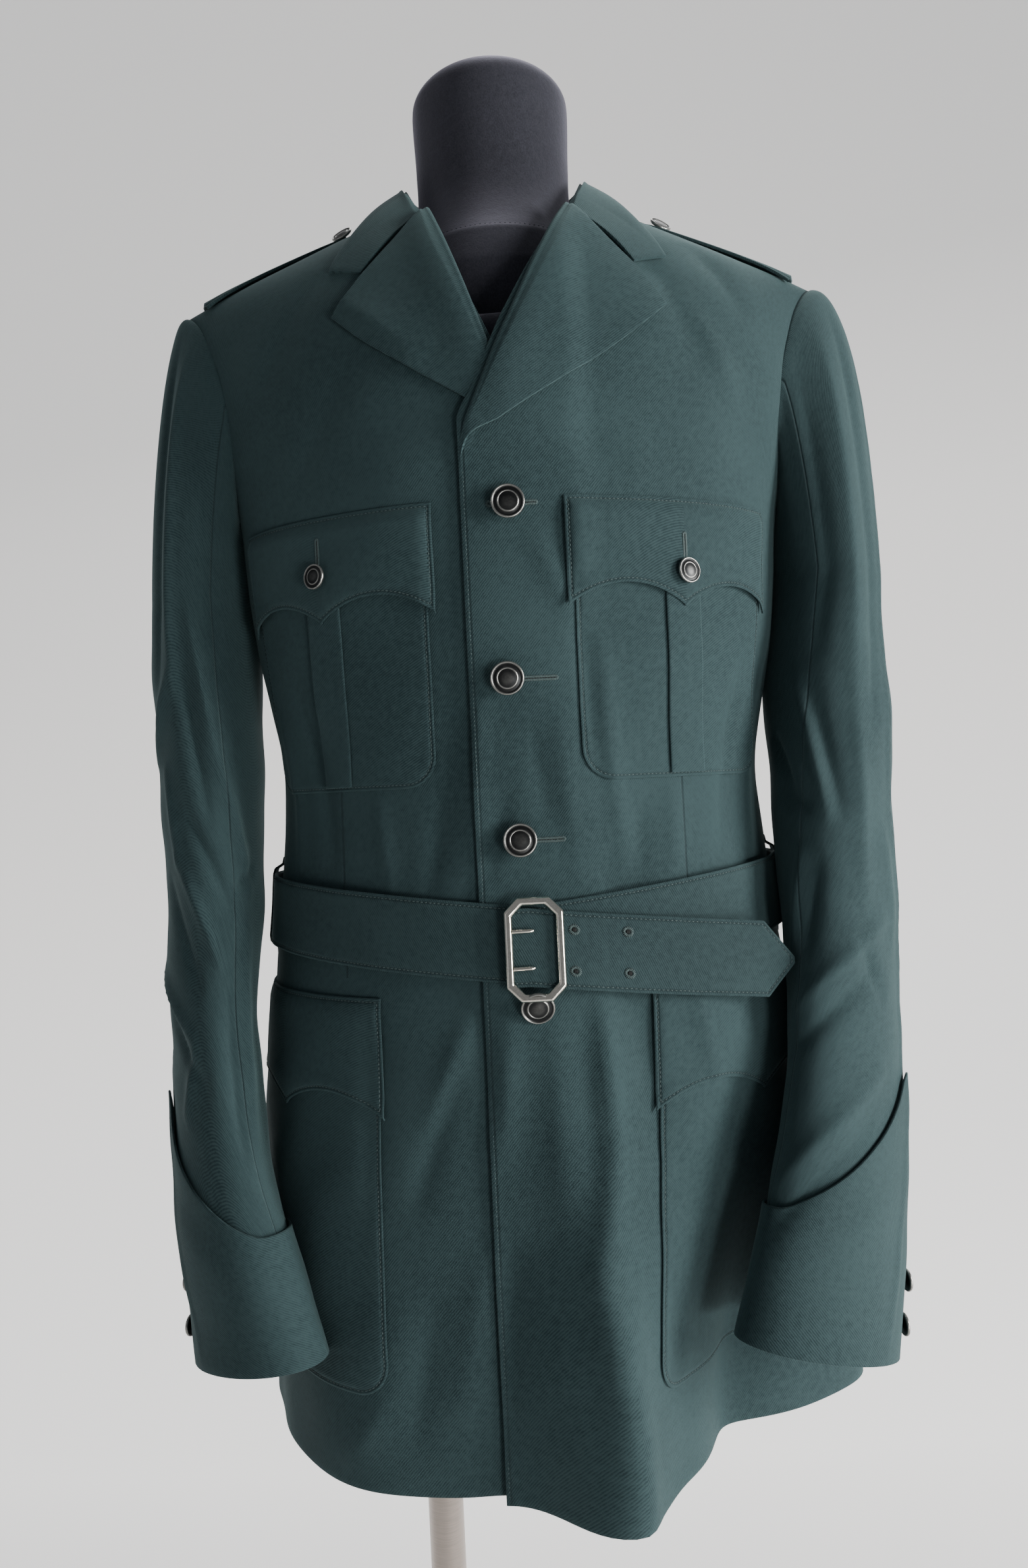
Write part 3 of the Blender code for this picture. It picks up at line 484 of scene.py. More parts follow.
def add(tree, kind, **inputs):
    node = tree.nodes.new(kind)
    for name, value in inputs.items():
        socket = node.inputs[int(name[1:])] if name[0] == "i" and name[1:].isdigit() else node.inputs[name]
        if isinstance(value, bpy.types.NodeSocket):
            tree.links.new(value, socket)
        else:
            socket.default_value = value
    return node


def maths(tree, operation, *values):
    node = tree.nodes.new("ShaderNodeMath")
    node.operation = operation
    for i, value in enumerate(values):
        if isinstance(value, bpy.types.NodeSocket):
            tree.links.new(value, node.inputs[i])
        else:
            node.inputs[i].default_value = value
    return node.outputs[0]


def ramp(tree, value, *stops):
    node = tree.nodes.new("ShaderNodeValToRGB")
    tree.links.new(value, node.inputs[0])
    while len(node.color_ramp.elements) < len(stops):
        node.color_ramp.elements.new(0.5)
    for element, (at, colour) in zip(node.color_ramp.elements, stops):
        element.position = at
        element.color = (*colour, 1) if len(colour) == 3 else colour
    return node.outputs[0]


def noise(tree, vector, scale, detail=2.0, rough=0.5):
    node = add(tree, "ShaderNodeTexNoise", Vector=vector, Scale=scale, Detail=detail, Roughness=rough)
    return node.outputs[0]


def attribute(tree, name):
    node = add(tree, "ShaderNodeAttribute")
    node.attribute_name = name
    return node.outputs["Fac"]


def squeezed(tree, vector, scale):
    mapping = tree.nodes.new("ShaderNodeMapping")
    mapping.inputs["Scale"].default_value = scale
    tree.links.new(vector, mapping.inputs["Vector"])
    return mapping.outputs[0]


def fading(tree, distance, reach):
    """1 on a line and 0 from a reach away."""
    away = maths(tree, "MINIMUM", maths(tree, "DIVIDE", distance, reach), 1.0)
    return maths(tree, "SUBTRACT", 1.0, away)


def waves(tree, vector, period, turn, distortion=0.0, detail_scale=1.0):
    """Parallel lines of a period in metres, turned in the cloth's plane."""
    mapping = tree.nodes.new("ShaderNodeMapping")
    mapping.inputs["Rotation"].default_value[2] = turn
    tree.links.new(vector, mapping.inputs["Vector"])
    wave = tree.nodes.new("ShaderNodeTexWave")
    wave.inputs["Scale"].default_value = 0.314 / period
    wave.inputs["Distortion"].default_value = distortion
    wave.inputs["Detail"].default_value = 1
    wave.inputs["Detail Scale"].default_value = detail_scale
    tree.links.new(mapping.outputs[0], wave.inputs["Vector"])
    return wave.outputs["Fac"]


# %% Wool barathea
TWILL = 0.0013
STITCH_IN = 0.0024


def barathea(name, dark, light, twill_turn=radians(38)):
    made, tree, shader = new_material(name, 0.86)
    uv = add(tree, "ShaderNodeUVMap").outputs[0]
    place = add(tree, "ShaderNodeTexCoord").outputs["Object"]
    twill = waves(tree, uv, TWILL, twill_turn, 1.2, 2.0)
    yarn = waves(tree, uv, TWILL * 0.55, twill_turn + radians(78), 2.5, 2.0)
    fibre = noise(tree, uv, 2600.0)
    slub = noise(tree, uv, 240.0, 4.0, 0.7)
    drift = noise(tree, place, 11.0, 3.0)
    lines = maths(tree, "MULTIPLY_ADD", twill, 0.55, maths(tree, "MULTIPLY", yarn, 0.25))
    lines = maths(tree, "MULTIPLY_ADD", fibre, 0.35, lines)
    tone = maths(tree, "MULTIPLY_ADD", drift, 0.8, maths(tree, "MULTIPLY_ADD", lines, 0.9, -0.61))
    tone = maths(tree, "MULTIPLY_ADD", slub, 1.2, tone)
    colour = ramp(tree, tone, (0.55, dark), (1.0, light))
    from_stitch = maths(tree, "ABSOLUTE", maths(tree, "SUBTRACT", attribute(tree, "stitched"), STITCH_IN))
    groove = fading(tree, from_stitch, 0.0012)
    line = fading(tree, maths(tree, "ABSOLUTE", attribute(tree, "seam")), 0.0011)
    sink_and_painted_shade = maths(tree, "MAXIMUM", maths(tree, "MULTIPLY", groove, 0.55), line)
    # painted shade: the colour is multiplied by a dark grey in the stitch grooves and along the seams, where
    # shade falls
    painted_groove_shade = tree.nodes.new("ShaderNodeMix")
    painted_groove_shade.data_type = "RGBA"
    painted_groove_shade.blend_type = "MULTIPLY"
    tree.links.new(maths(tree, "MULTIPLY", sink_and_painted_shade, 0.6), painted_groove_shade.inputs["Factor"])
    tree.links.new(colour, painted_groove_shade.inputs["A"])
    painted_groove_shade.inputs["B"].default_value = (0.35, 0.35, 0.38, 1)
    tree.links.new(painted_groove_shade.outputs["Result"], shader.inputs["Base Color"])
    sunk = maths(tree, "MULTIPLY", sink_and_painted_shade, 0.00060)
    relief = maths(tree, "SUBTRACT", maths(tree, "MULTIPLY", lines, 0.00016), sunk)
    relief = maths(tree, "MULTIPLY_ADD", slub, 0.00010, relief)
    bump = add(tree, "ShaderNodeBump", Height=relief, Distance=1.0, Strength=0.9)
    tree.links.new(bump.outputs[0], shader.inputs["Normal"])
    shader.inputs["Sheen Weight"].default_value = 0.17
    shader.inputs["Sheen Roughness"].default_value = 0.45
    shader.inputs["Sheen Tint"].default_value = (0.55, 0.85, 0.86, 1)
    shader.inputs["Specular IOR Level"].default_value = 0.22
    return made


# %% [markdown]
# Sewing thread is a little smoother than the cloth and catches the light, so its stitches read as fine
# pale dashes. The form's jersey is a thin black knit with a faint violet cast. Metal parts get a bright
# and a dull version of the same colour, mixed by an attribute that marks raised and rubbed edges.

# %% Thread, jersey and metals
def thread_material():
    made, tree, shader = new_material("sewing_thread", 0.6)
    place = add(tree, "ShaderNodeTexCoord").outputs["Object"]
    colour = ramp(tree, noise(tree, place, 1800.0, 1.0), (0.3, (0.022, 0.046, 0.046)),
                  (0.8, (0.055, 0.095, 0.095)))
    tree.links.new(colour, shader.inputs["Base Color"])
    shader.inputs["Sheen Weight"].default_value = 0.2
    return made


def jersey_material():
    made, tree, shader = new_material("form_jersey", 0.9)
    place = add(tree, "ShaderNodeTexCoord").outputs["Object"]
    knit = noise(tree, squeezed(tree, place, (1.0, 1.0, 0.55)), 1500.0)
    fluff = noise(tree, place, 260.0, 5.0, 0.7)
    cloud = noise(tree, place, 9.0, 3.0)
    tone = maths(tree, "MULTIPLY_ADD", fluff, 0.35, maths(tree, "MULTIPLY", cloud, 0.3))
    tone = maths(tree, "MULTIPLY_ADD", knit, 0.5, tone)
    colour = ramp(tree, tone, (0.38, (0.0110, 0.0115, 0.0160)), (0.80, (0.034, 0.035, 0.046)))
    tree.links.new(colour, shader.inputs["Base Color"])
    relief = maths(tree, "MULTIPLY_ADD", knit, 0.00014, maths(tree, "MULTIPLY", fluff, 0.00025))
    bump = add(tree, "ShaderNodeBump", Height=relief, Distance=1.0, Strength=0.8)
    tree.links.new(bump.outputs[0], shader.inputs["Normal"])
    shader.inputs["Sheen Weight"].default_value = 0.45
    shader.inputs["Sheen Roughness"].default_value = 0.4
    shader.inputs["Sheen Tint"].default_value = (0.80, 0.78, 0.95, 1)
    shader.inputs["Specular IOR Level"].default_value = 0.2
    return made


def metal_material(name, dull, bright, rough, grain, metal=1.0, scale=900.0):
    """A metal whose rubbed edges, marked by the attribute worn, are brighter and smoother."""
    made, tree, shader = new_material(name, rough, metal)
    place = add(tree, "ShaderNodeTexCoord").outputs["Object"]
    speck = noise(tree, place, scale, 3.0)
    cloud = noise(tree, place, scale / 9, 3.0)
    rubbed = maths(tree, "MULTIPLY", attribute(tree, "worn"), maths(tree, "MULTIPLY_ADD", speck, 0.9, 0.45))
    rubbed = maths(tree, "MULTIPLY_ADD", cloud, 0.25, rubbed)
    colour = ramp(tree, rubbed, (0.15, dull), (0.95, bright))
    tree.links.new(colour, shader.inputs["Base Color"])
    gloss = maths(tree, "MULTIPLY_ADD", speck, grain, maths(tree, "MULTIPLY_ADD", rubbed, -0.12, rough))
    tree.links.new(gloss, shader.inputs["Roughness"])
    relief = maths(tree, "MULTIPLY", speck, 0.00004)
    bump = add(tree, "ShaderNodeBump", Height=relief, Distance=1.0, Strength=0.6)
    tree.links.new(bump.outputs[0], shader.inputs["Normal"])
    return made


def brushed_material(name, colour, rough, stretch):
    """Fine scratches that run round a tube, made by squeezing a noise along its height."""
    made, tree, shader = new_material(name, rough, 1.0)
    place = add(tree, "ShaderNodeTexCoord").outputs["Object"]
    scratch = noise(tree, squeezed(tree, place, stretch), 60.0, 6.0, 0.7)
    tint = ramp(tree, scratch, (0.3, tuple(c * 0.75 for c in colour)), (0.7, colour))
    tree.links.new(tint, shader.inputs["Base Color"])
    gloss = maths(tree, "MULTIPLY_ADD", scratch, 0.22, rough - 0.1)
    tree.links.new(gloss, shader.inputs["Roughness"])
    return made


# painted shadow: a near-black material for the shade inside buttonhole slits and eyelet holes
def slit_shadow_material():
    made, tree, shader = new_material("slit_painted_shadow", 0.9)
    speck = add(tree, "ShaderNodeTexNoise", Scale=900.0).outputs[0]
    colour = ramp(tree, speck, (0.3, (0.003, 0.004, 0.004)), (0.8, (0.010, 0.013, 0.013)))
    tree.links.new(colour, shader.inputs["Base Color"])
    return made


# %% The finishes by name: a slot name and the material
CLOTH_DARK = (0.0092, 0.0222, 0.0252)
CLOTH_LIGHT = (0.0262, 0.0498, 0.0535)
BELT_DARK, BELT_LIGHT = (tuple(c * 0.9 for c in tone) for tone in (CLOTH_DARK, CLOTH_LIGHT))
BUTTON_DULL, BUTTON_BRIGHT = (0.020, 0.021, 0.022), (0.30, 0.30, 0.285)
BUCKLE_DULL, BUCKLE_BRIGHT = (0.50, 0.46, 0.38), (0.86, 0.83, 0.76)
PAINT_DULL, PAINT_BRIGHT = (0.012, 0.012, 0.013), (0.03, 0.03, 0.03)
STEEL = (0.56, 0.49, 0.44)
FINISHES = {
    "cloth": ("tunic_cloth", barathea("tunic_cloth", CLOTH_DARK, CLOTH_LIGHT)),
    "trim": ("tunic_trim", barathea("tunic_trim", CLOTH_DARK, CLOTH_LIGHT, radians(52))),
    "collar": ("tunic_trim", barathea("collar_cloth", CLOTH_DARK, CLOTH_LIGHT, radians(118))),
    "belt": ("belt_cloth", barathea("belt_cloth", BELT_DARK, BELT_LIGHT, radians(-30))),
    "thread": ("tunic_trim", thread_material()),
    "slit": ("tunic_trim", slit_shadow_material()),
    "jersey": ("form_jersey", jersey_material()),
    "button": ("button_dark", metal_material("button_dark", BUTTON_DULL, BUTTON_BRIGHT, 0.34, 0.10, 0.9)),
    "buckle": ("buckle_steel", metal_material("buckle_steel", BUCKLE_DULL, BUCKLE_BRIGHT, 0.16, 0.08)),
    "steel": ("stand_steel", brushed_material("stand_steel", STEEL, 0.30, (1.0, 1.0, 30.0))),
    "paint": ("base_paint", metal_material("base_paint", PAINT_DULL, PAINT_BRIGHT, 0.42, 0.16, 0.0, 500.0)),
}
print("finishes:", ", ".join(FINISHES))

# %% [markdown]
# ## Fronts and backs
# A front runs from its buttoning edge to the side seam and the armhole. Above the top button the edge
# follows the break line of the lapel. The dart below the breast pocket is a seam, so its distance is
# written on the cloth. The back is two halves with a seam down the middle.

# %% Edges of the panels
def armhole(share):
    return np.radians(read(ARMHOLE, share, 1))


def front_edge(side, height):
    edge = EDGE if side > 0 else -UNDER
    turn = sin((BREAK - CHEST) / (RIDGE - CHEST) * pi / 2)
    up = np.sin(np.clip((height - CHEST) / (RIDGE - CHEST), 0, 1) * pi / 2)
    back_off = 0.009 * ease((up - 0.77) / 0.08) * ease((1 - up) / 0.035)
    tucked = 0.0030 * ease((height - BREAK + 0.004) / 0.012)
    sloped = edge + (NECK - edge) * (up - turn) / (1 - turn) + back_off
    return np.where(height <= BREAK, edge, sloped) + tucked


def panel_heights(hem, rows_low=152, rows_high=54):
    return np.concatenate((np.linspace(hem, CHEST, rows_low), np.linspace(CHEST, RIDGE, rows_high)[1:]))


# %% The fronts
DART_X = {1: 0.101, -1: 0.116}
DART_TOP, DART_LOW = 1.062, 0.940
# metres round the trunk for one radian, for the weave
RADIAN_LONG = 0.178


def front(side, columns=76):
    heights = panel_heights(HEM[side])[:, None]
    wide, share = width_at(heights)
    first = np.arcsin(front_edge(side, heights) / wide)
    last = armhole(share)
    across = np.linspace(0, 1, columns)[None, :]
    angles = side * (first + (last - first) * across)
    if side < 0:
        angles = angles[:, ::-1]
    points = tunic(angles, heights, WALL, over=side > 0)
    seen_x = side * points[..., 0]
    outside = np.maximum(points[..., 2] - DART_TOP, DART_LOW - points[..., 2])
    dart = seen_x - DART_X[side]
    dart = np.where(outside > 0, np.copysign(FAR, dart), dart)
    edge_x = np.where(heights < BREAK - 0.01, seen_x - front_edge(side, heights), FAR)
    marks = {"seam": dart, "stitched": edge_x if side > 0 else np.full(seen_x.shape, FAR)}
    uv = np.stack((angles * RADIAN_LONG, points[..., 2]), -1)
    name = f"front_{TAGS[side]}"
    return sheet_of(f"{name}_cloth", points, WALL, "cloth", [name], uv, marks)


for side in (1, -1):
    front(side)


# %% The backs
def back(side, columns=54):
    heights = panel_heights(HEM_BACK)[:, None]
    wide, share = width_at(heights)
    first = np.arcsin((0.0002 + NECK * np.sqrt(np.clip((share - NAPE) / (1 - NAPE), 0, 1))) / wide)
    last = armhole(share)
    across = np.linspace(0, 1, columns)[None, :]
    angles = side * (pi - first - (last - first) * across)
    if side > 0:
        angles = angles[:, ::-1]
    points = tunic(angles, heights, WALL, over=False) + np.array((0, 0.0004, 0))
    middle = np.abs(points[..., 0]) + 0.0002
    uv = np.stack((angles * RADIAN_LONG, points[..., 2]), -1)
    name = f"back_{TAGS[side]}"
    return sheet_of(f"{name}_cloth", points, WALL, "cloth", [name], uv, {"seam": middle})


for side in (1, -1):
    back(side)
print("panels:", sorted(PIECES))

# %% [markdown]
# ## Sleeves and cuffs
# A sleeve is a tube whose centre line leans forward as it falls. Its head starts on the armhole and
# turns over into the tube. It is cut in two parts, a top sleeve and an under sleeve, and a hind-arm seam
# runs down the top one to the point of the cuff. The left arm is pinched at the elbow.

# %% Sizes of the sleeves
# height, centre x, centre y, half width, half depth, turn inwards, rise of the front
SLEEVES = {
    1: (
        (1.195, 0.2215, 0.000, 0.0365, 0.066, 4, 0.000),
        (1.100, 0.2180, -0.012, 0.0410, 0.066, 12, 0.002),
        (1.000, 0.2140, -0.032, 0.0375, 0.066, 22, 0.006),
        (0.900, 0.2090, -0.058, 0.0310, 0.063, 31, 0.012),
        (0.800, 0.1895, -0.098, 0.0300, 0.056, 44, 0.018),
        (0.710, 0.1640, -0.128, 0.0300, 0.054, 58, 0.018),
    ),
    -1: (
        (1.195, 0.2185, 0.000, 0.0345, 0.066, 4, 0.000),
        (1.100, 0.2190, -0.006, 0.0350, 0.065, 8, 0.000),
        (1.000, 0.2165, -0.022, 0.0310, 0.062, 14, 0.002),
        (0.900, 0.2150, -0.047, 0.0270, 0.058, 18, 0.004),
        (0.800, 0.2020, -0.080, 0.0270, 0.051, 28, 0.008),
        (0.712, 0.1790, -0.112, 0.0270, 0.047, 50, 0.008),
    ),
}
HIND_SEAM, FRONT_SEAM = -90.0, 111.1
SLEEVE_CREASES = {
    1: (
        (124, 1.125, 84, 1.020, 0.0065, 0.0052),
        (112, 1.120, 72, 1.020, 0.0070, -0.0036),
        (150, 1.085, 118, 1.040, 0.0055, -0.0062),
        (138, 1.045, 100, 1.030, 0.0050, -0.0040),
        (82, 1.300, 70, 1.100, 0.0100, 0.0034),
        (70, 1.120, 46, 0.960, 0.0090, 0.0036),
        (52, 1.240, 48, 1.080, 0.0090, -0.0030),
        (108, 1.010, 124, 0.930, 0.0065, 0.0044),
        (92, 1.000, 104, 0.930, 0.0070, -0.0036),
        (130, 0.890, 20, 0.960, 0.0075, 0.0046),
        (120, 0.868, 30, 0.925, 0.0080, -0.0044),
        (56, 0.950, 18, 0.905, 0.0060, -0.0034),
        (114, 0.785, 12, 0.868, 0.0080, 0.0042),
        (100, 0.765, 20, 0.835, 0.0080, -0.0030),
        (96, 1.230, 108, 1.130, 0.0080, -0.0028),
        (30, 1.020, 5, 0.930, 0.0080, 0.0024),
        (-70, 1.120, -90, 1.020, 0.0100, -0.0040),
        (-60, 1.060, -80, 0.960, 0.0100, 0.0036),
    ),
    -1: (
        (70, 1.260, 62, 1.120, 0.0075, 0.0044),
        (62, 1.150, 22, 1.080, 0.0065, 0.0042),
        (52, 1.230, 40, 1.130, 0.0080, -0.0036),
        (86, 1.190, 108, 1.065, 0.0070, 0.0048),
        (106, 1.085, 134, 0.990, 0.0065, 0.0046),
        (76, 1.150, 92, 1.040, 0.0080, -0.0042),
        (44, 1.085, 50, 1.010, 0.0065, 0.0038),
        (46, 1.025, 96, 0.945, 0.0065, 0.0048),
        (64, 1.050, 112, 0.980, 0.0070, -0.0042),
        (26, 1.010, 70, 0.930, 0.0075, -0.0036),
        (-8, 0.952, 60, 0.900, 0.0060, 0.0042),
        (10, 0.925, 70, 0.870, 0.0065, -0.0034),
        (60, 0.905, 30, 0.850, 0.0065, 0.0036),
        (128, 0.985, 122, 0.830, 0.0080, 0.0040),
        (104, 0.940, 98, 0.820, 0.0090, -0.0036),
        (140, 1.010, 112, 1.000, 0.0050, -0.0044),
        (-70, 1.120, -90, 1.020, 0.0100, -0.0040),
        (-60, 1.060, -80, 0.960, 0.0100, 0.0036),
    ),
}
# the seam that shows on each sleeve: row, turn round it
SEAM_LINE = {
    1: ((0.0, 2), (0.3, 12), (0.7, 22), (1.2, 27), (1.4, 10), (1.55, -12), (1.7, -20), (2.0, -22)),
    -1: ((0.0, -40), (1.0, -52), (1.5, -44), (1.7, -20), (2.0, -20)),
}
# metres round a sleeve for one degree
SLEEVE_DEGREE, SEAM_DEGREE = 0.00105, 0.00095
# the cuff's height, its point's height and angle, and how far the point spreads
CUFF_LOW, CUFF_PEAK, CUFF_AT = 0.072, 0.082, -20
CUFF_BEHIND, CUFF_AHEAD = 62, 112
HEAD_LEAN = {1: 0.14, -1: 0.06}


# %% A point of a sleeve
def sleeve_point(side, row, around, out=0.0):
    """row is 0 at the armhole, 1 below the head, 2 at the cuff's edge; around is 0 on the outer side,
    a quarter turn at the front and a half turn against the body."""
    row, around = np.broadcast_arrays(np.asarray(row, float), np.asarray(around, float))
    table = SLEEVES[side]
    top, low = table[0][0], table[-1][0]
    height = top + (low - top) * np.maximum(row - 1, 0)
    x, y, wide, deep, turn, rise = (read(table, height, c) for c in range(1, 7))
    turn = np.radians(turn)
    turned = (np.degrees(around) + 180) % 360 - 180
    fade = ease((row - 0.15) / 0.5) * ease((2.02 - row) / 0.12)
    soft = creased(SLEEVE_CREASES[side], turned, height, SLEEVE_DEGREE)
    outwards = np.stack((np.cos(around), np.sin(around), 0 * around), -1)
    plain = np.stack((side * x, y, height), -1) + 0.05 * outwards
    along_seam = (turned - read(SEAM_LINE[side], row, 1)) * SLEEVE_DEGREE
    soft = soft + 0.0013 * np.exp(-((along_seam / 0.004) ** 2))
    out = out + (soft + 1.6 * uneven(plain)) * fade
    a, b = (wide + out) * np.cos(around), (deep + out) * np.sin(around)
    point = np.stack((x + np.cos(turn) * a - np.sin(turn) * b, y - np.sin(turn) * a - np.cos(turn) * b,
                      height + rise * np.sin(around)), -1)
    share = (1 + np.cos(around)) / 2
    behind = np.sin(around) < 0
    angle = np.where(behind, pi - armhole(share), armhole(share))
    # the seam: the sleeve starts under the panel's edge and swells over a roll of wadding
    tuck = -0.0028 * (1 - ease(row / 0.035)) + 0.0014 * ease(row / 0.035) * (1 - ease((row - 0.06) / 0.25))
    root = cloth(angle, CHEST + share * (RIDGE - CHEST), out + tuck)
    root = root + np.stack((-0.0022 + 0 * share, np.where(behind, 0.0008, 0.0), 0 * share), -1)
    reach = np.linalg.norm(point - root, axis=-1)
    lean = root + np.stack((HEAD_LEAN[side] * reach * (0.25 + 0.75 * share), 0 * reach, 0.03 * reach), -1)
    hang = point + np.stack((0 * reach - 0.004, 0 * reach, 0.5 * reach), -1)
    t = np.clip(row, 0, 1)[..., None]
    head = (1 - t) ** 3 * root + 3 * t * (1 - t) ** 2 * lean + 3 * t**2 * (1 - t) * hang + t**3 * point
    return np.where((row < 1)[..., None], head, point) * np.array((side, 1, 1))


# %% The sleeves in two parts
def sleeve(side, part, columns):
    around = (HIND_SEAM, FRONT_SEAM) if part == "top" else (FRONT_SEAM, 360 + HIND_SEAM)
    turns = np.radians(np.linspace(*around, columns))[None, :]
    seam_rows, head_rows = np.linspace(0, 0.05, 7)[:-1], np.linspace(0.05, 1, 36)[:-1]
    rows = np.concatenate((seam_rows, head_rows, np.linspace(1, 2, 124)))[:, None]
    points = sleeve_point(side, rows, turns, WALL)
    if side < 0:
        points = points[:, ::-1]
    angle = np.degrees(turns) + 0 * rows
    gap = (angle - read(SEAM_LINE[side], rows, 1)) * SEAM_DEGREE
    edges = np.minimum(angle - around[0], around[1] - angle) * SEAM_DEGREE
    seam = np.copysign(np.minimum(np.abs(gap), edges), gap) if part == "top" else edges
    # the seam along the sleeve head, beside its rope of cloth: a narrow sunk line with painted shade
    seam = np.copysign(np.minimum(np.abs(seam), np.where(rows < 1, rows * 0.10, FAR)), seam)
    if side < 0:
        seam = seam[:, ::-1]
    name = f"sleeve_{part}_{TAGS[side]}"
    return sheet_of(f"{name}_cloth", points, WALL, "cloth", [name], None, {"seam": seam})


for side in (1, -1):
    sleeve(side, "top", 76)
    sleeve(side, "under", 54)


# %% The pointed cuffs
def cuff(side, columns=120, rows=30):
    low, top = SLEEVES[side][-1][0], SLEEVES[side][0][0]
    around = np.linspace(0, 2 * pi, columns + 1)[None, :]
    away = (np.degrees(around) - CUFF_AT + 180) % 360 - 180
    spread = np.where(away > 0, CUFF_AHEAD, CUFF_BEHIND)
    tall = CUFF_LOW + CUFF_PEAK * np.clip(1 - np.maximum(np.abs(away) - 1.6, 0) / spread, 0, 1) ** 1.7
    step = np.linspace(0, 1, rows)[:, None]
    lift = WALL + 0.0003 + 0.0005 * (1 - step) ** 0.7 + TRIM
    points = sleeve_point(side, 2 - tall * step / (top - low), around + 0 * step, lift + 0 * around)
    from_top = (1 - step) * tall
    if side < 0:
        points, from_top = points[:, ::-1], from_top[:, ::-1]
    name, marks = f"cuff_{TAGS[side]}", {"seam": from_top + 0.0004}
    return sheet_of(f"{name}_cloth", points, TRIM, "trim", [name], None, marks, ring=True)


for side in (1, -1):
    cuff(side)

# %% [markdown]
# ## Collar and lapels
# The collar is one sheet: it stands up behind the neck, folds over along its roll line and falls back on
# the shoulders. The lapel is the front's own edge turned over. Its section starts under the fold, turns
# round a small radius at the break line and comes back over the chest.

# %% The collar
# share of the way round from the nape; the roll line's place; the foot's place
COLLAR = (
    (0.00, 0.0000, 0.0670, 1.4970, 0.0000, 0.0690, 1.4625),
    (0.25, 0.0455, 0.0470, 1.4965, 0.0455, 0.0470, 1.4730),
    (0.50, 0.0632, 0.0080, 1.4915, 0.0622, 0.0105, 1.4738),
    (0.70, 0.0610, -0.0225, 1.4780, 0.0562, -0.0200, 1.4680),
    (0.85, 0.0562, -0.0440, 1.4600, 0.0512, -0.0400, 1.4540),
    (1.00, 0.0510, -0.0615, 1.4415, 0.0450, -0.0575, 1.4380),
)
# the fall's lower edge: share of the way round, angle, share of the height from chest to shoulder
FALL_BACK = ((0.00, 180.0, 0.61), (0.17, 170.0, 0.65), (0.34, 164.0, 0.78), (0.50, 160.0, 1.0))
FALL_FRONT = ((0.50, 20.0, 1.0), (0.68, 25.4, 0.744), (0.86, 31.2, 0.551))
FALL_END = (24.6, 0.490)
FALL_LIFT = WALL + 0.0021


def clear_of(points, angle, height, lift):
    """Pushes points out where they are less than a lift clear of the trunk's cloth."""
    for _ in range(8):
        here = trunk(angle, height)
        across = (trunk(angle + 0.01, height) - here) / 0.01
        rise = (here - trunk(angle, height - 0.003)) / 0.003
        away = points - here
        angle = angle + 0.8 * (away * across).sum(-1) / (across * across).sum(-1)
        step = (away * rise).sum(-1) / np.maximum((rise * rise).sum(-1), 0.05)
        height = np.clip(height + 0.8 * step, CHEST - 0.1, RIDGE)
    normal = normal_of(angle, height)
    short = lift - ((points - trunk(angle, height)) * normal).sum(-1)
    return points + normal * np.maximum(short, 0)[..., None]


def collar(half=70):
    turns = np.concatenate((np.linspace(0, 0.5, half // 2 + 1), np.linspace(0.5, 0.86, half // 3 + 1)[1:],
                            np.linspace(0.86, 1.0, 15)[1:]))
    s = np.concatenate((-turns[:0:-1], turns))
    side, turn = np.where(s >= 0, 1.0, -1.0), np.abs(s)
    x, y, z, foot_x, foot_y, foot_z = (read(COLLAR, turn, c) for c in range(1, 7))
    roll, foot = np.stack((x, y, z), -1), np.stack((foot_x, foot_y, foot_z), -1)
    end = np.clip((turn - 0.86) / 0.14, 0, 1)
    angle = np.where(turn <= 0.5, read(FALL_BACK, turn, 1), read(FALL_FRONT, turn, 1))
    share = np.where(turn <= 0.5, read(FALL_BACK, turn, 2), read(FALL_FRONT, turn, 2))
    angle = np.radians(angle + (FALL_END[0] - angle) * end)
    height = CHEST + (share + (FALL_END[1] - share) * end) * (RIDGE - CHEST)
    edge = cloth(angle, height, FALL_LIFT)
    outward = np.stack((x, y - 0.004, 0 * x), -1)
    outward /= np.linalg.norm(outward, axis=-1, keepdims=True)
    fold = roll + outward * 0.0045 - np.array((0, 0, 0.003))
    foot = np.where((turn > 0.5)[:, None], clear_of(foot, angle, height, 0.0), foot)
    rows = [foot + (roll - foot) * k for k in (0, 0.3, 0.6, 0.85)]
    # the roll line: a small arc from the stand's top over to the fall
    start = foot + (roll - foot) * 0.93
    for k in (0.2, 0.4, 0.6, 0.8, 1.0):
        crest = roll + outward * 0.0016 + np.array((0, 0, 0.0008))
        rows.append((1 - k) ** 2 * start + 2 * k * (1 - k) * crest + k**2 * fold)
    for k in np.linspace(0, 1, 15)[1:]:
        point = fold + (edge - fold) * k + outward * (0.0036 * np.sin(pi * k))[None]
        rows.append(clear_of(point, angle, height, FALL_LIFT))
    under = np.array(rows)
    under = under * np.stack((side, np.ones_like(side), np.ones_like(side)), -1)
    along, across = np.gradient(under, axis=0), np.gradient(under, axis=1)
    normal = np.cross(along, across)
    normal /= np.linalg.norm(normal, axis=2, keepdims=True)
    points = under + normal * WALL
    return sheet_of("collar_cloth", points[:, ::-1], WALL, "collar", ["collar"], bevel=0.0006)


collar()

# %% The lapels
# the fold's lower and upper ends: x, height
ROOT_LOW = {1: (-0.0283, 1.2640), -1: (-0.0020, 1.2890)}
ROOT_TOP = {1: (0.0470, 1.4390), -1: (0.0445, 1.4410)}
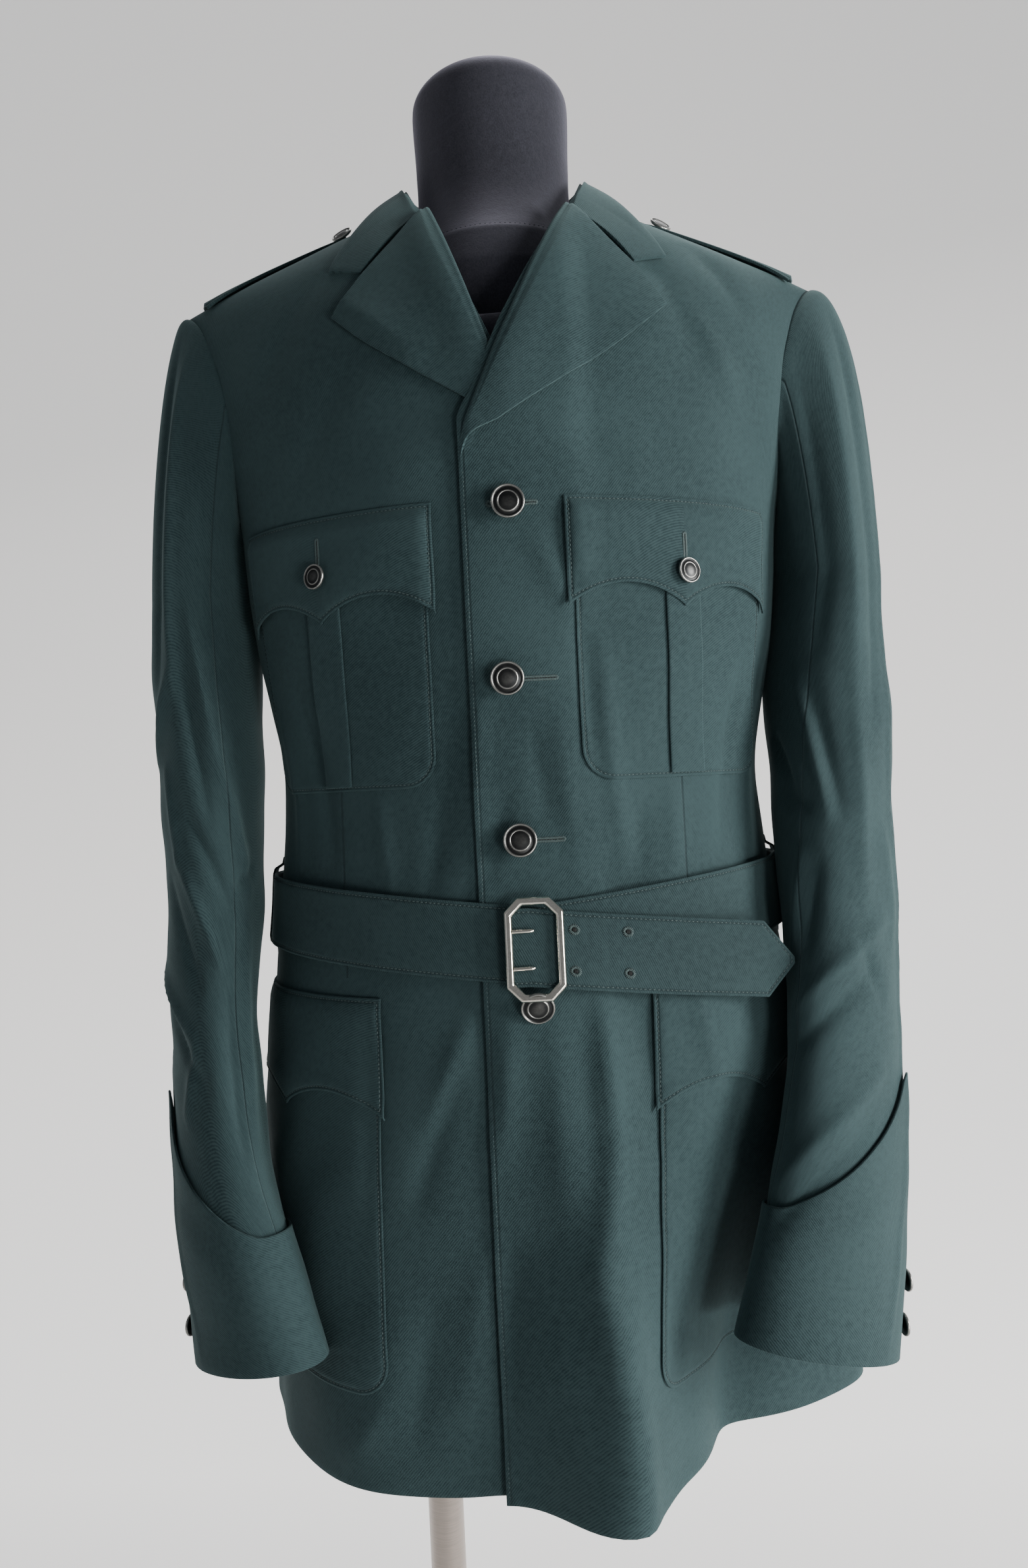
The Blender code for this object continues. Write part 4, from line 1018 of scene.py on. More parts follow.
# lapel's outer edge from its low end to the tip: share, x, z
OUTER = {
    1: ((0.0, -0.0286, 1.2520), (0.05, -0.0260, 1.2640), (0.22, -0.0020, 1.2800), (0.60, 0.0476, 1.3120),
        (0.84, 0.0830, 1.3390), (1.0, 0.1055, 1.3600)),
    -1: ((0.0, 0.0060, 1.2830), (0.22, 0.0250, 1.2960), (0.60, 0.0600, 1.3200), (0.84, 0.0880, 1.3420),
         (1.0, 0.1055, 1.3600)),
}
NOTCH, TIP = (0.0868, 1.3885), (0.1055, 1.3600)
LAPEL_OUT = WALL + LAY + 0.0004
ROLL_RADIUS = (LAPEL_OUT + WALL) / 2


def lapel(side, rows=70, columns=46):
    t = np.concatenate((np.linspace(0, 0.8, rows - 12), np.linspace(0.8, 1.0, 13)[1:]))[:, None]
    low, top = np.array(ROOT_LOW[side]), np.array(ROOT_TOP[side])
    root = low + (top - low) * t
    k = np.clip(t / 0.8, 0, 1)
    edge = np.concatenate((read(OUTER[side], k, 1), read(OUTER[side], k, 2)), -1)
    last = np.clip((t - 0.8) / 0.2, 0, 1)
    edge = edge + (np.array(NOTCH) - np.array(TIP)) * last
    # the roll: the section starts flat under the fold and turns round it
    away = np.array((top[1] - low[1], -(top[0] - low[0])))
    away /= np.linalg.norm(away)
    grow = ease(t / 0.10) if side > 0 else np.ones_like(t)
    radius = ROLL_RADIUS * (0.35 + 0.65 * grow)
    plan, lifts = [], []
    for offset in (0.006, 0.003, 0.0):
        plan.append(root + away * offset)
        lifts.append(0 * t)
    for turn in np.radians(np.linspace(0, 180, 11)[1:]):
        plan.append(root - away * radius * np.sin(turn))
        lifts.append(radius * (1 - np.cos(turn)))
    rolled = len(plan)
    for step in np.linspace(0, 1, columns)[1:] ** 0.9:
        plan.append(root + (edge - root) * step)
        lifts.append(2 * radius)
    plan, lift = np.stack(plan, 1), np.concatenate(lifts, 1)
    angle, height = chart(side * plan[..., 0], plan[..., 1])
    # gentle roll: the lapel stands off the chest near the fold and sinks towards its edge
    reach = np.linalg.norm(plan - root[:, None], axis=-1)
    over = np.arange(plan.shape[1])[None, :] > rolled
    puff = 0.0016 * np.exp(-(((reach - 0.010) / 0.014) ** 2)) * ease((t - 0.05) / 0.3) * over
    points = tunic(angle, height, lift + puff, over=side > 0)
    uv = plan.copy()
    if side < 0:
        points = points[:, ::-1]
        uv[..., 0] *= -1
        uv = uv[:, ::-1]
    name = f"lapel_{TAGS[side]}"
    return sheet_of(f"{name}_cloth", points, WALL, "trim", [name], uv, bevel=0.0005)


for side in (1, -1):
    lapel(side)

# %% [markdown]
# ## Sewing thread
# A stitch is modelled once: a small ball with few faces, drawn out to a grain of thread. Rows of stitches
# copy it along a line, each lying in the cloth with its ends a little sunk.

# %% One stitch and rows of it
STITCH_LONG, STITCH_PITCH, STITCH_THICK = 0.0018, 0.0027, 0.00028
bpy.ops.mesh.primitive_uv_sphere_add(segments=5, ring_count=4, radius=1)
model = bpy.context.object
GRAIN = np.array([v.co[:] for v in model.data.vertices])
GRAIN_FACES = [tuple(p.vertices) for p in model.data.polygons]
bpy.data.objects.remove(model, do_unlink=True)


def threads(name, middles, ahead, normal, long=STITCH_LONG, thick=STITCH_THICK, finish="thread"):
    """One piece made of a grain of thread at each middle, pointing ahead and lying on its normal."""
    middles, ahead, normal = (np.asarray(v, float).reshape(-1, 3) for v in (middles, ahead, normal))
    ahead = ahead / np.linalg.norm(ahead, axis=1, keepdims=True)
    normal = normal - (normal * ahead).sum(1, keepdims=True) * ahead
    normal /= np.linalg.norm(normal, axis=1, keepdims=True)
    across = np.cross(normal, ahead)
    # the ball's own axis is drawn out along the stitch and its middle is bowed up
    g = GRAIN
    verts = (
        middles[:, None] + ahead[:, None] * (g[:, 2] * long / 2)[None, :, None]
        + across[:, None] * (g[:, 0] * thick)[None, :, None]
        + normal[:, None] * (g[:, 1] * thick + thick * 0.9 * (1 - g[:, 2] ** 2))[None, :, None]
    )
    faces = [tuple(i + len(g) * n for i in face) for n in range(len(middles)) for face in GRAIN_FACES]
    mesh = bpy.data.meshes.new(name)
    mesh.from_pydata(verts.reshape(-1, 3), [], faces)
    mesh.shade_smooth()
    piece = bpy.data.objects.new(name, mesh)
    bpy.context.scene.collection.objects.link(piece)
    finish_piece(piece, finish)
    return piece


def spaced(line, pitch=STITCH_PITCH):
    """Places at equal steps along a line of plan points, and the directions there."""
    line = np.asarray(line, float)
    gone = np.concatenate(([0], np.cumsum(np.linalg.norm(np.diff(line, axis=0), axis=1))))
    count = max(int(gone[-1] / pitch), 1)
    at = (np.arange(count) + 0.5) * gone[-1] / count
    return np.stack([np.interp(at, gone, line[:, i]) for i in range(line.shape[1])], -1)


def from_line(points, line):
    """Distance of plan points from a line of plan points."""
    points, line = np.asarray(points, float), np.asarray(line, float)
    best = np.full(points.shape[:-1], 1.0)
    for a, b in zip(line[:-1], line[1:]):
        run = b - a
        t = np.clip(((points - a) @ run) / max(run @ run, 1e-12), 0, 1)
        best = np.minimum(best, np.linalg.norm(points - a - t[..., None] * run, axis=-1))
    return best


def inset_line(line, gap):
    """The line moved to its left by a gap; parts that come too near the line again are left out."""
    fine = spaced(line, 0.0006)
    ahead = np.gradient(fine, axis=0)
    ahead /= np.linalg.norm(ahead, axis=1, keepdims=True)
    moved = fine + np.stack((-ahead[:, 1], ahead[:, 0]), -1) * gap
    return moved[from_line(moved, line) > gap * 0.985]


def sewn(name, line, place, pitch=STITCH_PITCH, lift=0.0001):
    """A row of stitches along a plan line; place turns plan points and a lift into points."""
    spots = spaced(line, pitch)
    ahead = np.gradient(spots, axis=0)
    ahead /= np.linalg.norm(ahead, axis=1, keepdims=True)
    here, there = place(spots, lift), place(spots + ahead * 0.0005, lift)
    normal = place(spots, lift + 0.002) - here
    keep = np.linalg.norm(np.gradient(spots, axis=0), axis=1) < pitch * 1.6
    return threads(name, here[keep], (there - here)[keep], normal[keep])


def edge_rise(distance):
    """The cloth's relief beside a stitched edge: a groove under the stitches and a soft edge."""
    groove = -0.00042 * np.exp(-(((distance - STITCH_IN) / 0.0008) ** 2))
    puff = 0.00022 * np.exp(-(((distance - 0.0052) / 0.0022) ** 2))
    roll = -0.00045 * np.clip(1 - distance / 0.0013, 0, 1) ** 2
    return groove + puff + roll


def dense(size, count, fine=(0.0, 0.0006, 0.0012, 0.0018, 0.0024, 0.0030, 0.0038, 0.0050)):
    """Places across a size with close lines beside both ends."""
    fine = np.array(fine)
    inside = np.linspace(fine[-1], size - fine[-1], count)[1:-1]
    return np.concatenate((fine, inside, size - fine[::-1]))

# %% [markdown]
# ## Patch pockets, pleats and flaps
# A patch is drawn flat, as a tailor would cut it, by its length round the body and its height. Its grid
# lines crowd together near the edges, where the cloth sinks under the stitches. A plan point and a lift
# give the place on the body, for the cloth and for its thread alike.

# %% Sizes of the pockets
BREAST = {1: 0.037, -1: 0.052}
BREAST_W, BREAST_TOP, BREAST_LOW = 0.142, 1.2215, 1.060
BREAST_FLAP_W, FLAP_TOP, FLAP_LOW = 0.152, 1.233, 1.166
PLEAT_W = 0.026
HIP = {1: 0.077, -1: 0.098}
HIP_W, HIP_TOP, HIP_LOW = 0.165, 0.919, 0.697
HIP_FLAP_W, HIP_FLAP_TOP, HIP_FLAP_LOW = 0.171, 0.931, 0.858
SCALLOP = 0.014
CORNER = 0.020
BASE_LIFT = WALL + 0.0003
OVER_POCKET = BASE_LIFT + TRIM + 0.0003
OVER_PLEAT = OVER_POCKET + TRIM + 0.0003
HIP_LIFT = BASE_LIFT + 0.0003
POCKET_BUTTON_Z = {1: 1.187, -1: 1.195}
PATCH_CELLS = 38
# how far stitches lie under the top of the cloth
STITCH_SUNK = 0.0004


def placer(side, base):
    """Turns plan points (length round the body, height) and a lift over base into points."""
    def place(plan, lift):
        plan = np.asarray(plan, float)
        return tunic(round_to(side, plan[..., 0], plan[..., 1]), plan[..., 1],
                     base + np.asarray(lift, float))
    return place


# %% A patch with rounded lower corners
def patch(node, side, start, wide, top, low, base, rows=54, sag=None):
    """start and wide are lengths round the body, top and low heights, base the lift it lies at."""
    place = placer(side, base + TRIM)
    bend = CORNER * (1 - np.sin(np.linspace(0, pi / 2, 16)))[1:]
    down = np.concatenate((np.linspace(top, low + CORNER, rows), low + bend))
    down[-1] = low
    near = np.clip((low + CORNER - down) / CORNER, 0, 1)
    inset = CORNER * (1 - np.sqrt(np.clip(1 - near**2, 0, 1)))
    across = dense(wide, PATCH_CELLS) / wide
    lengths = start + inset[:, None] + (wide - 2 * inset)[:, None] * across[None, :]
    plan = np.stack((lengths, down[:, None] + 0 * lengths), -1)
    arc = np.linspace(0, pi / 2, 14)
    outline = [(start, top + 0.02)]
    outline += [(start + CORNER * (1 - cos(a)), low + CORNER * (1 - sin(a))) for a in arc]
    outline += [(start + wide - CORNER * (1 - cos(a)), low + CORNER * (1 - sin(a))) for a in arc[::-1]]
    outline += [(start + wide, top + 0.02)]
    distance = from_line(plan, outline)
    rise = edge_rise(distance)
    if sag is not None:
        rise = rise + sag(plan) * ease(distance / 0.02)
    points = place(plan, rise)
    order = slice(None) if side > 0 else slice(None, None, -1)
    marks = {"stitched": distance[::-1, order]}
    sheet_of(f"{node}_cloth", points[::-1, order], TRIM, "trim", [node], None, marks, bevel=0.0003)
    line = inset_line(outline, STITCH_IN)
    line = line[line[:, 1] < top - 0.001]
    sewn(f"{node}_stitches", line, placer(side, base + TRIM - STITCH_SUNK))


# %% A three-pointed flap
def flap(node, side, start, wide, top, low, lift_top, lift_low, cells=96):
    """Makes the flap and its stitches, and returns the function that places a plan point on it."""
    near_ends = (0, 0.004, 0.008, 0.012, 0.016, 0.02, 0.026, 0.034)
    k = np.concatenate((np.linspace(0, 1, cells), [0.5], dense(1.0, 3, near_ends)))
    k = np.unique(np.round(k, 5))

    def hollow(k):
        return low + SCALLOP * np.abs(np.sin(2 * pi * k)) ** 0.8

    tall = top - low
    down = dense(tall, 30) / tall
    edge = hollow(k)[None, :]
    z = top + (edge - top) * down[:, None]
    plan = np.stack((start + wide * k[None, :] + 0 * z, z), -1)
    fine = np.linspace(0, 1, 161)
    lower = [(start + wide * f, hollow(f)) for f in fine]
    outline = [(start, top)] + lower + [(start + wide, top), (start, top)]
    distance = from_line(plan, outline)
    from_low = from_line(plan, lower)

    def base(plan):
        share = np.clip((top - plan[..., 1]) / (0.16 * tall), 0, 1)
        inside = np.minimum(plan[..., 0] - start, start + wide - plan[..., 0])
        return lift_top + (lift_low - lift_top) * ease(share) * (0.45 + 0.55 * ease(inside / 0.010))

    def place(plan, lift):
        plan = np.asarray(plan, float)
        angle = round_to(side, plan[..., 0], plan[..., 1])
        return tunic(angle, plan[..., 1], base(plan) + np.asarray(lift, float))

    middle = (plan[..., 0] - start) / wide - 0.5
    bow = 0.0012 * np.exp(-(((z - low - 0.012) / 0.018) ** 2)) * np.cos(2 * pi * middle)
    bow = bow * ease(from_low / 0.012)
    points = place(plan, TRIM + edge_rise(distance) + bow)
    order = slice(None) if side > 0 else slice(None, None, -1)
    marks = {"stitched": distance[::-1, order]}
    sheet_of(f"{node}_cloth", points[::-1, order], TRIM, "trim", [node], None, marks, bevel=0.0003)
    sewn(f"{node}_stitches", inset_line(outline, STITCH_IN),
         lambda plan, lift: place(plan, TRIM - STITCH_SUNK + lift))
    return place


def pocket_sag(side, low):
    """Soft hollows of an empty pocket."""
    def sag(plan):
        return (0.0007 * np.sin(plan[..., 0] * 46 + side) * np.sin((plan[..., 1] - low) * 30)
                + 0.0005 * np.sin(plan[..., 0] * 90 + plan[..., 1] * 50))
    return sag


# %% Pockets of both sides
flap_places = {}
for side, tag in TAGS.items():
    middle = BREAST[side] + BREAST_W / 2
    patch(f"breast_pocket_{tag}", side, BREAST[side], BREAST_W, BREAST_TOP, BREAST_LOW, BASE_LIFT)
    flap_places[side] = flap(f"breast_flap_{tag}", side, middle - BREAST_FLAP_W / 2, BREAST_FLAP_W,
                             FLAP_TOP, FLAP_LOW, BASE_LIFT, OVER_PLEAT + 0.0004)
    patch(f"hip_pocket_{tag}", side, HIP[side], HIP_W, HIP_TOP, HIP_LOW, HIP_LIFT, rows=80,
          sag=pocket_sag(side, HIP_LOW))
    flap(f"hip_flap_{tag}", side, HIP[side] - 0.003, HIP_FLAP_W, HIP_FLAP_TOP, HIP_FLAP_LOW, HIP_LIFT,
         OVER_POCKET + 0.0007)
print("pieces of cloth:", len(PIECES))


# %% Box pleats of the breast pockets
def pleat(side, tag):
    """A strip folded back under itself on both sides; the folds are its long edges."""
    start = BREAST[side] + BREAST_W / 2 - PLEAT_W / 2
    down = np.linspace(BREAST_LOW + 0.0025, BREAST_TOP - 0.001, 90)[:, None]
    across = dense(PLEAT_W, 12)[None, :]
    plan = np.stack((start + across + 0 * down, down + 0 * across), -1)
    fold = np.minimum(across, PLEAT_W - across)
    rise = -0.0007 * np.clip(1 - fold / 0.0016, 0, 1) ** 2 + 0.0003 * np.sin(down * 60) * ease(fold / 0.006)
    points = placer(side, OVER_POCKET + TRIM)(plan, rise + 0.0003)
    order = slice(None) if side > 0 else slice(None, None, -1)
    name = f"breast_pleat_{tag}"
    sheet_of(f"{name}_cloth", points[:, order], TRIM, "trim", [name], bevel=0.0005)


for side, tag in TAGS.items():
    pleat(side, tag)

# %% [markdown]
# ## Shoulder straps
# A strap is sewn into the sleeve head, lies along the shoulder and ends in a point beside the collar,
# where its button holds it.

# %% The straps
# distance from the middle of the body, half width
EPAULETTE = (
    (0.096, 0.0010), (0.101, 0.0085), (0.107, 0.0165), (0.112, 0.0185), (0.125, 0.0200),
    (0.147, 0.0210), (0.167, 0.0220), (0.183, 0.0225), (0.200, 0.0228), (0.2123, 0.0225),
)
STRAP_LIFT = WALL + 0.0003
STRAP_THICK = 1.3 * TRIM


def over_shoulder(x, s, out):
    """A point over the shoulder seam: x outwards, s forwards of the seam along the cloth."""
    x, s = np.broadcast_arrays(np.asarray(x, float), np.asarray(s, float))
    angle = np.arcsin(x / SHOULDER)
    front_side = s > 0
    deep = np.where(front_side, read(TRUNK, CHEST, 2), read(TRUNK, CHEST, 3)) * np.cos(angle)
    deep = deep + np.where(front_side, RIDGE_Y, -RIDGE_Y)
    share = np.maximum(1 - np.abs(s) / deep * 2 / pi, 0.3)
    angle = np.minimum(angle, armhole(share) - radians(1.5))
    return cloth(np.where(front_side, angle, pi - angle), CHEST + share * (RIDGE - CHEST), out)


def strap(side, tag):
    x = np.concatenate((np.linspace(0.096, 0.112, 22), np.linspace(0.112, 0.2123, 62)[1:]))[:, None]
    half = np.interp(x, [row[0] for row in EPAULETTE], [row[1] for row in EPAULETTE])
    ranks = np.linspace(-1, 1, 37)[None, :]
    s = half * np.sign(ranks) * np.abs(ranks) ** 0.85
    s = np.where(np.abs(s) < 1e-6, 1e-6, s)
    edge = np.minimum(half - np.abs(s), (x - 0.096) * 0.7)
    rise = edge_rise(np.maximum(edge, 0)) + 0.0006 * ease(edge / 0.012)
    points = over_shoulder(x + 0 * s, s, STRAP_LIFT + STRAP_THICK + rise) * np.array((side, 1, 1))
    order = slice(None, None, -1) if side > 0 else slice(None)
    name, marks = f"epaulette_{tag}", {"stitched": np.maximum(edge, 0)[:, order]}
    sheet_of(f"{name}_cloth", points[:, order], STRAP_THICK, "trim", [name], None, marks, bevel=0.0005)


for side, tag in TAGS.items():
    strap(side, tag)

# %% [markdown]
# ## Buttons
# One button is turned from a profile: a shank, a flat back, a raised rim and a low dome with a plain ring.
# Each button on the tunic is a copy of it, scaled and set on the cloth.

# %% A turned body
def turned(name, profile, turns=64, worn=None):
    """A closed body of revolution about Z; its profile starts and ends on the axis."""
    profile = np.asarray(profile, float)
    around = np.linspace(0, 2 * pi, turns + 1)
    r, h = profile[:, :1], profile[:, 1:2]
    piece = grid_piece(name, np.stack((r * np.sin(around), -r * np.cos(around), h + 0 * around), -1))
    write_attribute(piece, "worn", np.repeat(np.zeros(len(profile)) if worn is None else worn, turns + 1))
    merge_points(0.0000005)
    bpy.ops.object.shade_smooth_by_angle(angle=radians(50))
    return piece


def set_at(model, name, spot, ahead, scale=1.0, turn=0.0):
    """A copy of a turned body, its axis along ahead, standing at a spot."""
    copy = model.copy()
    copy.data = model.data.copy()
    copy.name = copy.data.name = name
    bpy.context.scene.collection.objects.link(copy)
    axis = Vector(ahead).normalized()
    turned_to = axis.to_track_quat("Z", "Y").to_matrix().to_4x4()
    own = Matrix.Rotation(turn, 4, "Z") @ Matrix.Scale(scale, 4)
    copy.data.transform(Matrix.Translation(Vector(spot)) @ turned_to @ own)
    return copy


# radius and height in button radii, and how worn the metal is
BUTTON = (
    (0.0, 0.02, 0), (0.20, 0.02, 0), (0.24, 0.06, 0), (0.24, 0.26, 0), (0.30, 0.30, 0), (0.86, 0.33, 0.1),
    (0.95, 0.37, 0.5), (0.99, 0.43, 0.9), (1.0, 0.50, 1.0), (0.985, 0.57, 1.0), (0.95, 0.615, 1.0),
    (0.91, 0.62, 0.9),
    (0.875, 0.60, 0.5), (0.85, 0.555, 0.1), (0.82, 0.54, 0.0), (0.78, 0.545, 0.0), (0.66, 0.575, 0.05),
    (0.635, 0.585, 0.2), (0.615, 0.612, 0.8), (0.59, 0.625, 1.0), (0.565, 0.620, 0.8), (0.545, 0.600, 0.2),
    (0.52, 0.603, 0.0), (0.40, 0.628, 0.05), (0.28, 0.645, 0.12), (0.15, 0.655, 0.15), (0.06, 0.658, 0.15),
    (0.0, 0.659, 0.15),
)
LARGE, SMALL = 0.0104, 0.0072
# the front buttons from above: x, z and how far each looks up or down
FRONT_BUTTONS = ((-0.001, 1.229, 0.04), (-0.006, 1.125, -0.03), (-0.003, 1.025, 0.05),
                 (0.003, 0.927, -0.50))
STRAP_BUTTON_X = {1: 0.116, -1: 0.107}
SLEEVE_BUTTONS_UP, SLEEVE_BUTTON_AT = (0.016, 0.039), radians(-62)
button_model = turned("button_model", [(r, h) for r, h, _ in BUTTON], 72, [w for _, _, w in BUTTON])


def button(name, spot, ahead, radius, node, turn=0.0):
    finish_piece(set_at(button_model, name, spot, ahead, radius, turn), "button", [node])


# %% Buttons on the front, pockets, straps and cuffs
def front_point(x, z, out):
    angle, height = chart(x, z)
    return tunic(angle, height, out)


for i, (x, z, tilt) in enumerate(FRONT_BUTTONS):
    spot = front_point(x, z, WALL)
    ahead = front_point(x, z, 0.02) - front_point(x, z, 0.01)
    ahead = ahead / np.linalg.norm(ahead) + np.array((0.03, 0, tilt))
    button(f"front_button_{i + 1}_metal", spot, ahead, LARGE, f"front_button_{i + 1}", 0.3 * i)

for side, tag in TAGS.items():
    plan, place = np.array((BREAST[side] + BREAST_W / 2, POCKET_BUTTON_Z[side])), flap_places[side]
    spot, ahead = place(plan, TRIM), place(plan, 0.012) - place(plan, 0.002)
    ahead = ahead / np.linalg.norm(ahead) + np.array((0.06 * side, 0, 0.10))
    button(f"pocket_button_{tag}_metal", spot, ahead, SMALL * 1.12, f"pocket_button_{tag}")
    mirror, x = np.array((side, 1, 1)), STRAP_BUTTON_X[side]
    spot = over_shoulder(x, 0.011, STRAP_LIFT + STRAP_THICK + 0.0022)
    ahead = over_shoulder(x, 0.011, 0.02) - over_shoulder(x, 0.011, 0.01)
    ahead = ahead / np.linalg.norm(ahead) + np.array((0.20, -0.70, 0))
    button(f"epaulette_button_{tag}_metal", spot * mirror, ahead * mirror, SMALL * 1.1,
           f"epaulette_button_{tag}")
    table = SLEEVES[side]
    skin = WALL + 0.0008 + TRIM
    for i, above in enumerate(SLEEVE_BUTTONS_UP):
        row = 2 - above / (table[0][0] - table[-1][0])
        spot = sleeve_point(side, row, SLEEVE_BUTTON_AT, skin)
        ahead = sleeve_point(side, row, SLEEVE_BUTTON_AT, skin + 0.01) - spot
        button(f"sleeve_button_{tag}_{i + 1}_metal", spot, ahead, SMALL, f"sleeve_button_{tag}_{i + 1}")
bpy.data.objects.remove(button_model, do_unlink=True)


# %% Buttonholes: purled edges round a slit
def buttonhole(name, middle, ahead_plan, long, place, keyhole=None):
    """Stitches stand across a narrow stadium; ahead_plan is its direction in the plan."""
    middle, ahead_plan = np.array(middle, float), np.array(ahead_plan, float)
    side_plan = np.array((-ahead_plan[1], ahead_plan[0]))
    reach, half = long / 2, 0.0009
    line = [middle + ahead_plan * s + side_plan * half for s in np.linspace(-reach, reach, 60)]
    turns = np.linspace(90, -90, 14)
    line += [middle + ahead_plan * (reach + half * cos(radians(t))) + side_plan * half * sin(radians(t))
             for t in turns]
    line += [middle + ahead_plan * s - side_plan * half for s in np.linspace(reach, -reach, 60)]
    eye = half * (1.9 if keyhole else 1.0)
    line += [middle - ahead_plan * (reach + eye * cos(radians(t))) - side_plan * eye * sin(radians(t))
             for t in np.linspace(90, -90, 18)]
    spots = spaced(line, 0.00052)
    ahead = np.gradient(spots, axis=0)
    ahead /= np.linalg.norm(ahead, axis=1, keepdims=True)
    across = np.stack((-ahead[:, 1], ahead[:, 0]), -1)
    here = place(spots, 0.00015)
    outwards = place(spots + across * 0.0004, 0.00015) - here
    threads(name, here, outwards, place(spots, 0.002) - here, 0.0017, 0.00030)
    # painted shadow: dark grains along the slit, where the opening lies in shade
    slit = spaced([middle - ahead_plan * reach, middle + ahead_plan * reach], 0.0016)
    here = place(slit, -0.00012)
    along = place(slit + ahead_plan * 0.0005, -0.00012) - here
    threads(name.replace("_purl", "_slit_shadow"), here, along, place(slit, 0.002) - here, 0.0026, 0.00034, "slit")


def on_edge(plan, lift):
    """Turns a plan point of the left front (x, height) and a lift into a point."""
    plan = np.asarray(plan)
    return front_point(plan[..., 0], plan[..., 1], WALL + np.asarray(lift))


for i, (x, z, long) in enumerate(((0.002, 1.229, 0.027), (0.0115, 1.124, 0.023), (0.0115, 1.025, 0.023))):
    buttonhole(f"front_purl_{i + 1}", (x, z), (1, 0), long, on_edge, keyhole=i == 0)
for side, tag in TAGS.items():
    middle = (BREAST[side] + BREAST_W / 2, POCKET_BUTTON_Z[side] + 0.012)
    buttonhole(f"flap_purl_{tag}", middle, (0, 1), 0.022,
               lambda plan, lift, s=side: flap_places[s](plan, TRIM + np.asarray(lift)))

# %% Stitches down the buttoning edge
heights = np.linspace(HEM[1] + 0.004, 1.250, 400)
edge_line = np.stack((EDGE + STITCH_IN + 0 * heights, heights), -1)
sewn("front_edge_stitches", edge_line, on_edge, lift=-0.0003)

# %% [markdown]
# ## Belt and buckle
# The belt goes once round the waist over both fronts. Its free end passes through the buckle, lies over
# the belt and then runs on past the body to its point. The buckle is an eight-sided frame of polished
# steel, made as a closed ring of a few faces whose edges are then bevelled.

# %% The belt and its free end
BELT_WIDTH, BELT, BELT_FRONT, BELT_SIDE, BELT_LIFT = 0.047, 0.0024, 0.962, 0.981, 0.0054
# the free end: where it begins, where its last straight row is, where it leaves the body and its tip,
# with the place and length of the slanted edges
END_BEGINS, END_STRAIGHT, LEAVE, TIP_X = -0.0125, 0.140, 0.075, 0.166
SLANT_X, TIP_LONG = 0.145, 0.021


def belt_height(angle):
    return BELT_FRONT + (BELT_SIDE - BELT_FRONT) * np.sin(np.minimum(np.abs(angle), pi / 2))


def belt_point(angle, v, out):
    ripple = 0.0004 * np.sin(7 * angle + 1) + 0.0003 * np.sin(17 * angle + v * 60)
    return cloth(angle, belt_height(angle) + v, BELT_LIFT + ripple + out)


def belt_end_point(x, v, out):
    """x along the free end and v across it, from its lower edge."""
    x, v = np.broadcast_arrays(np.asarray(x, float), np.asarray(v, float))
    z = BELT_FRONT - 0.001 - 0.022 * np.maximum(x, 0) / TIP_X + v
    flat = np.minimum(x, LEAVE)
    lift = BELT_LIFT + BELT + LAY + out
    base = cloth(*chart(flat, z), lift)
    ahead = cloth(*chart(flat + 0.004, z), lift) - base
    wave = 0.0006 * np.sin(x * 70 + 1.0) * ease((x - 0.02) / 0.03)
    return base + ahead / ahead[..., :1] * (x - flat)[..., None] + np.stack((0 * x, -wave - 0.0004, 0 * x),
                                                                            -1)


half = BELT_WIDTH / 2
turns = np.linspace(-pi, pi, 241)[None, :]
v = (dense(BELT_WIDTH, 10) - half)[:, None]
from_edge = half - np.abs(v) + 0 * turns
points = belt_point(turns + 0 * v, v + 0 * turns, BELT + edge_rise(from_edge))
sheet_of("belt_cloth", points, BELT, "belt", ["belt"], None, {"stitched": from_edge}, ring=True,
         bevel=0.0006)
ring = np.linspace(-pi, pi, 2000)
for name, where in (("upper", half - STITCH_IN), ("lower", -half + STITCH_IN)):
    line = belt_point(ring, where + 0 * ring, BELT - 0.0003)
    spots = spaced(line)
    middle_angle = np.arctan2(spots[:, 0], -spots[:, 1])
    normal = np.stack((np.sin(middle_angle), -np.cos(middle_angle), 0 * middle_angle), -1)
    threads(f"belt_{name}_stitches", spots, np.gradient(spots, axis=0), normal)

share = np.linspace(0, 1, 110)[None, :]
across = (dense(BELT_WIDTH, 10) / half - 1)[:, None]
straight = END_BEGINS + (END_STRAIGHT - END_BEGINS) * np.clip(share / 0.86, 0, 1)
tip = TIP_X - TIP_LONG * np.abs(across)
x = straight + (tip - END_STRAIGHT) * np.clip((share - 0.86) / 0.14, 0, 1)
plan = np.stack((x, across * half + 0 * x), -1)
outline = [(-0.03, half), (SLANT_X, half), (TIP_X, 0), (SLANT_X, -half), (-0.03, -half)]
distance = from_line(plan, outline)
points = belt_end_point(plan[..., 0], plan[..., 1], BELT + edge_rise(distance))
sheet_of("belt_end_cloth", points, BELT, "belt", ["belt_end"], None, {"stitched": distance},
         bevel=0.0006)
line = inset_line(outline[::-1], STITCH_IN)
line = line[line[:, 0] > -0.010]
sewn("belt_end_stitches", line,
     lambda plan, lift: belt_end_point(plan[..., 0], plan[..., 1], BELT - STITCH_SUNK + lift))

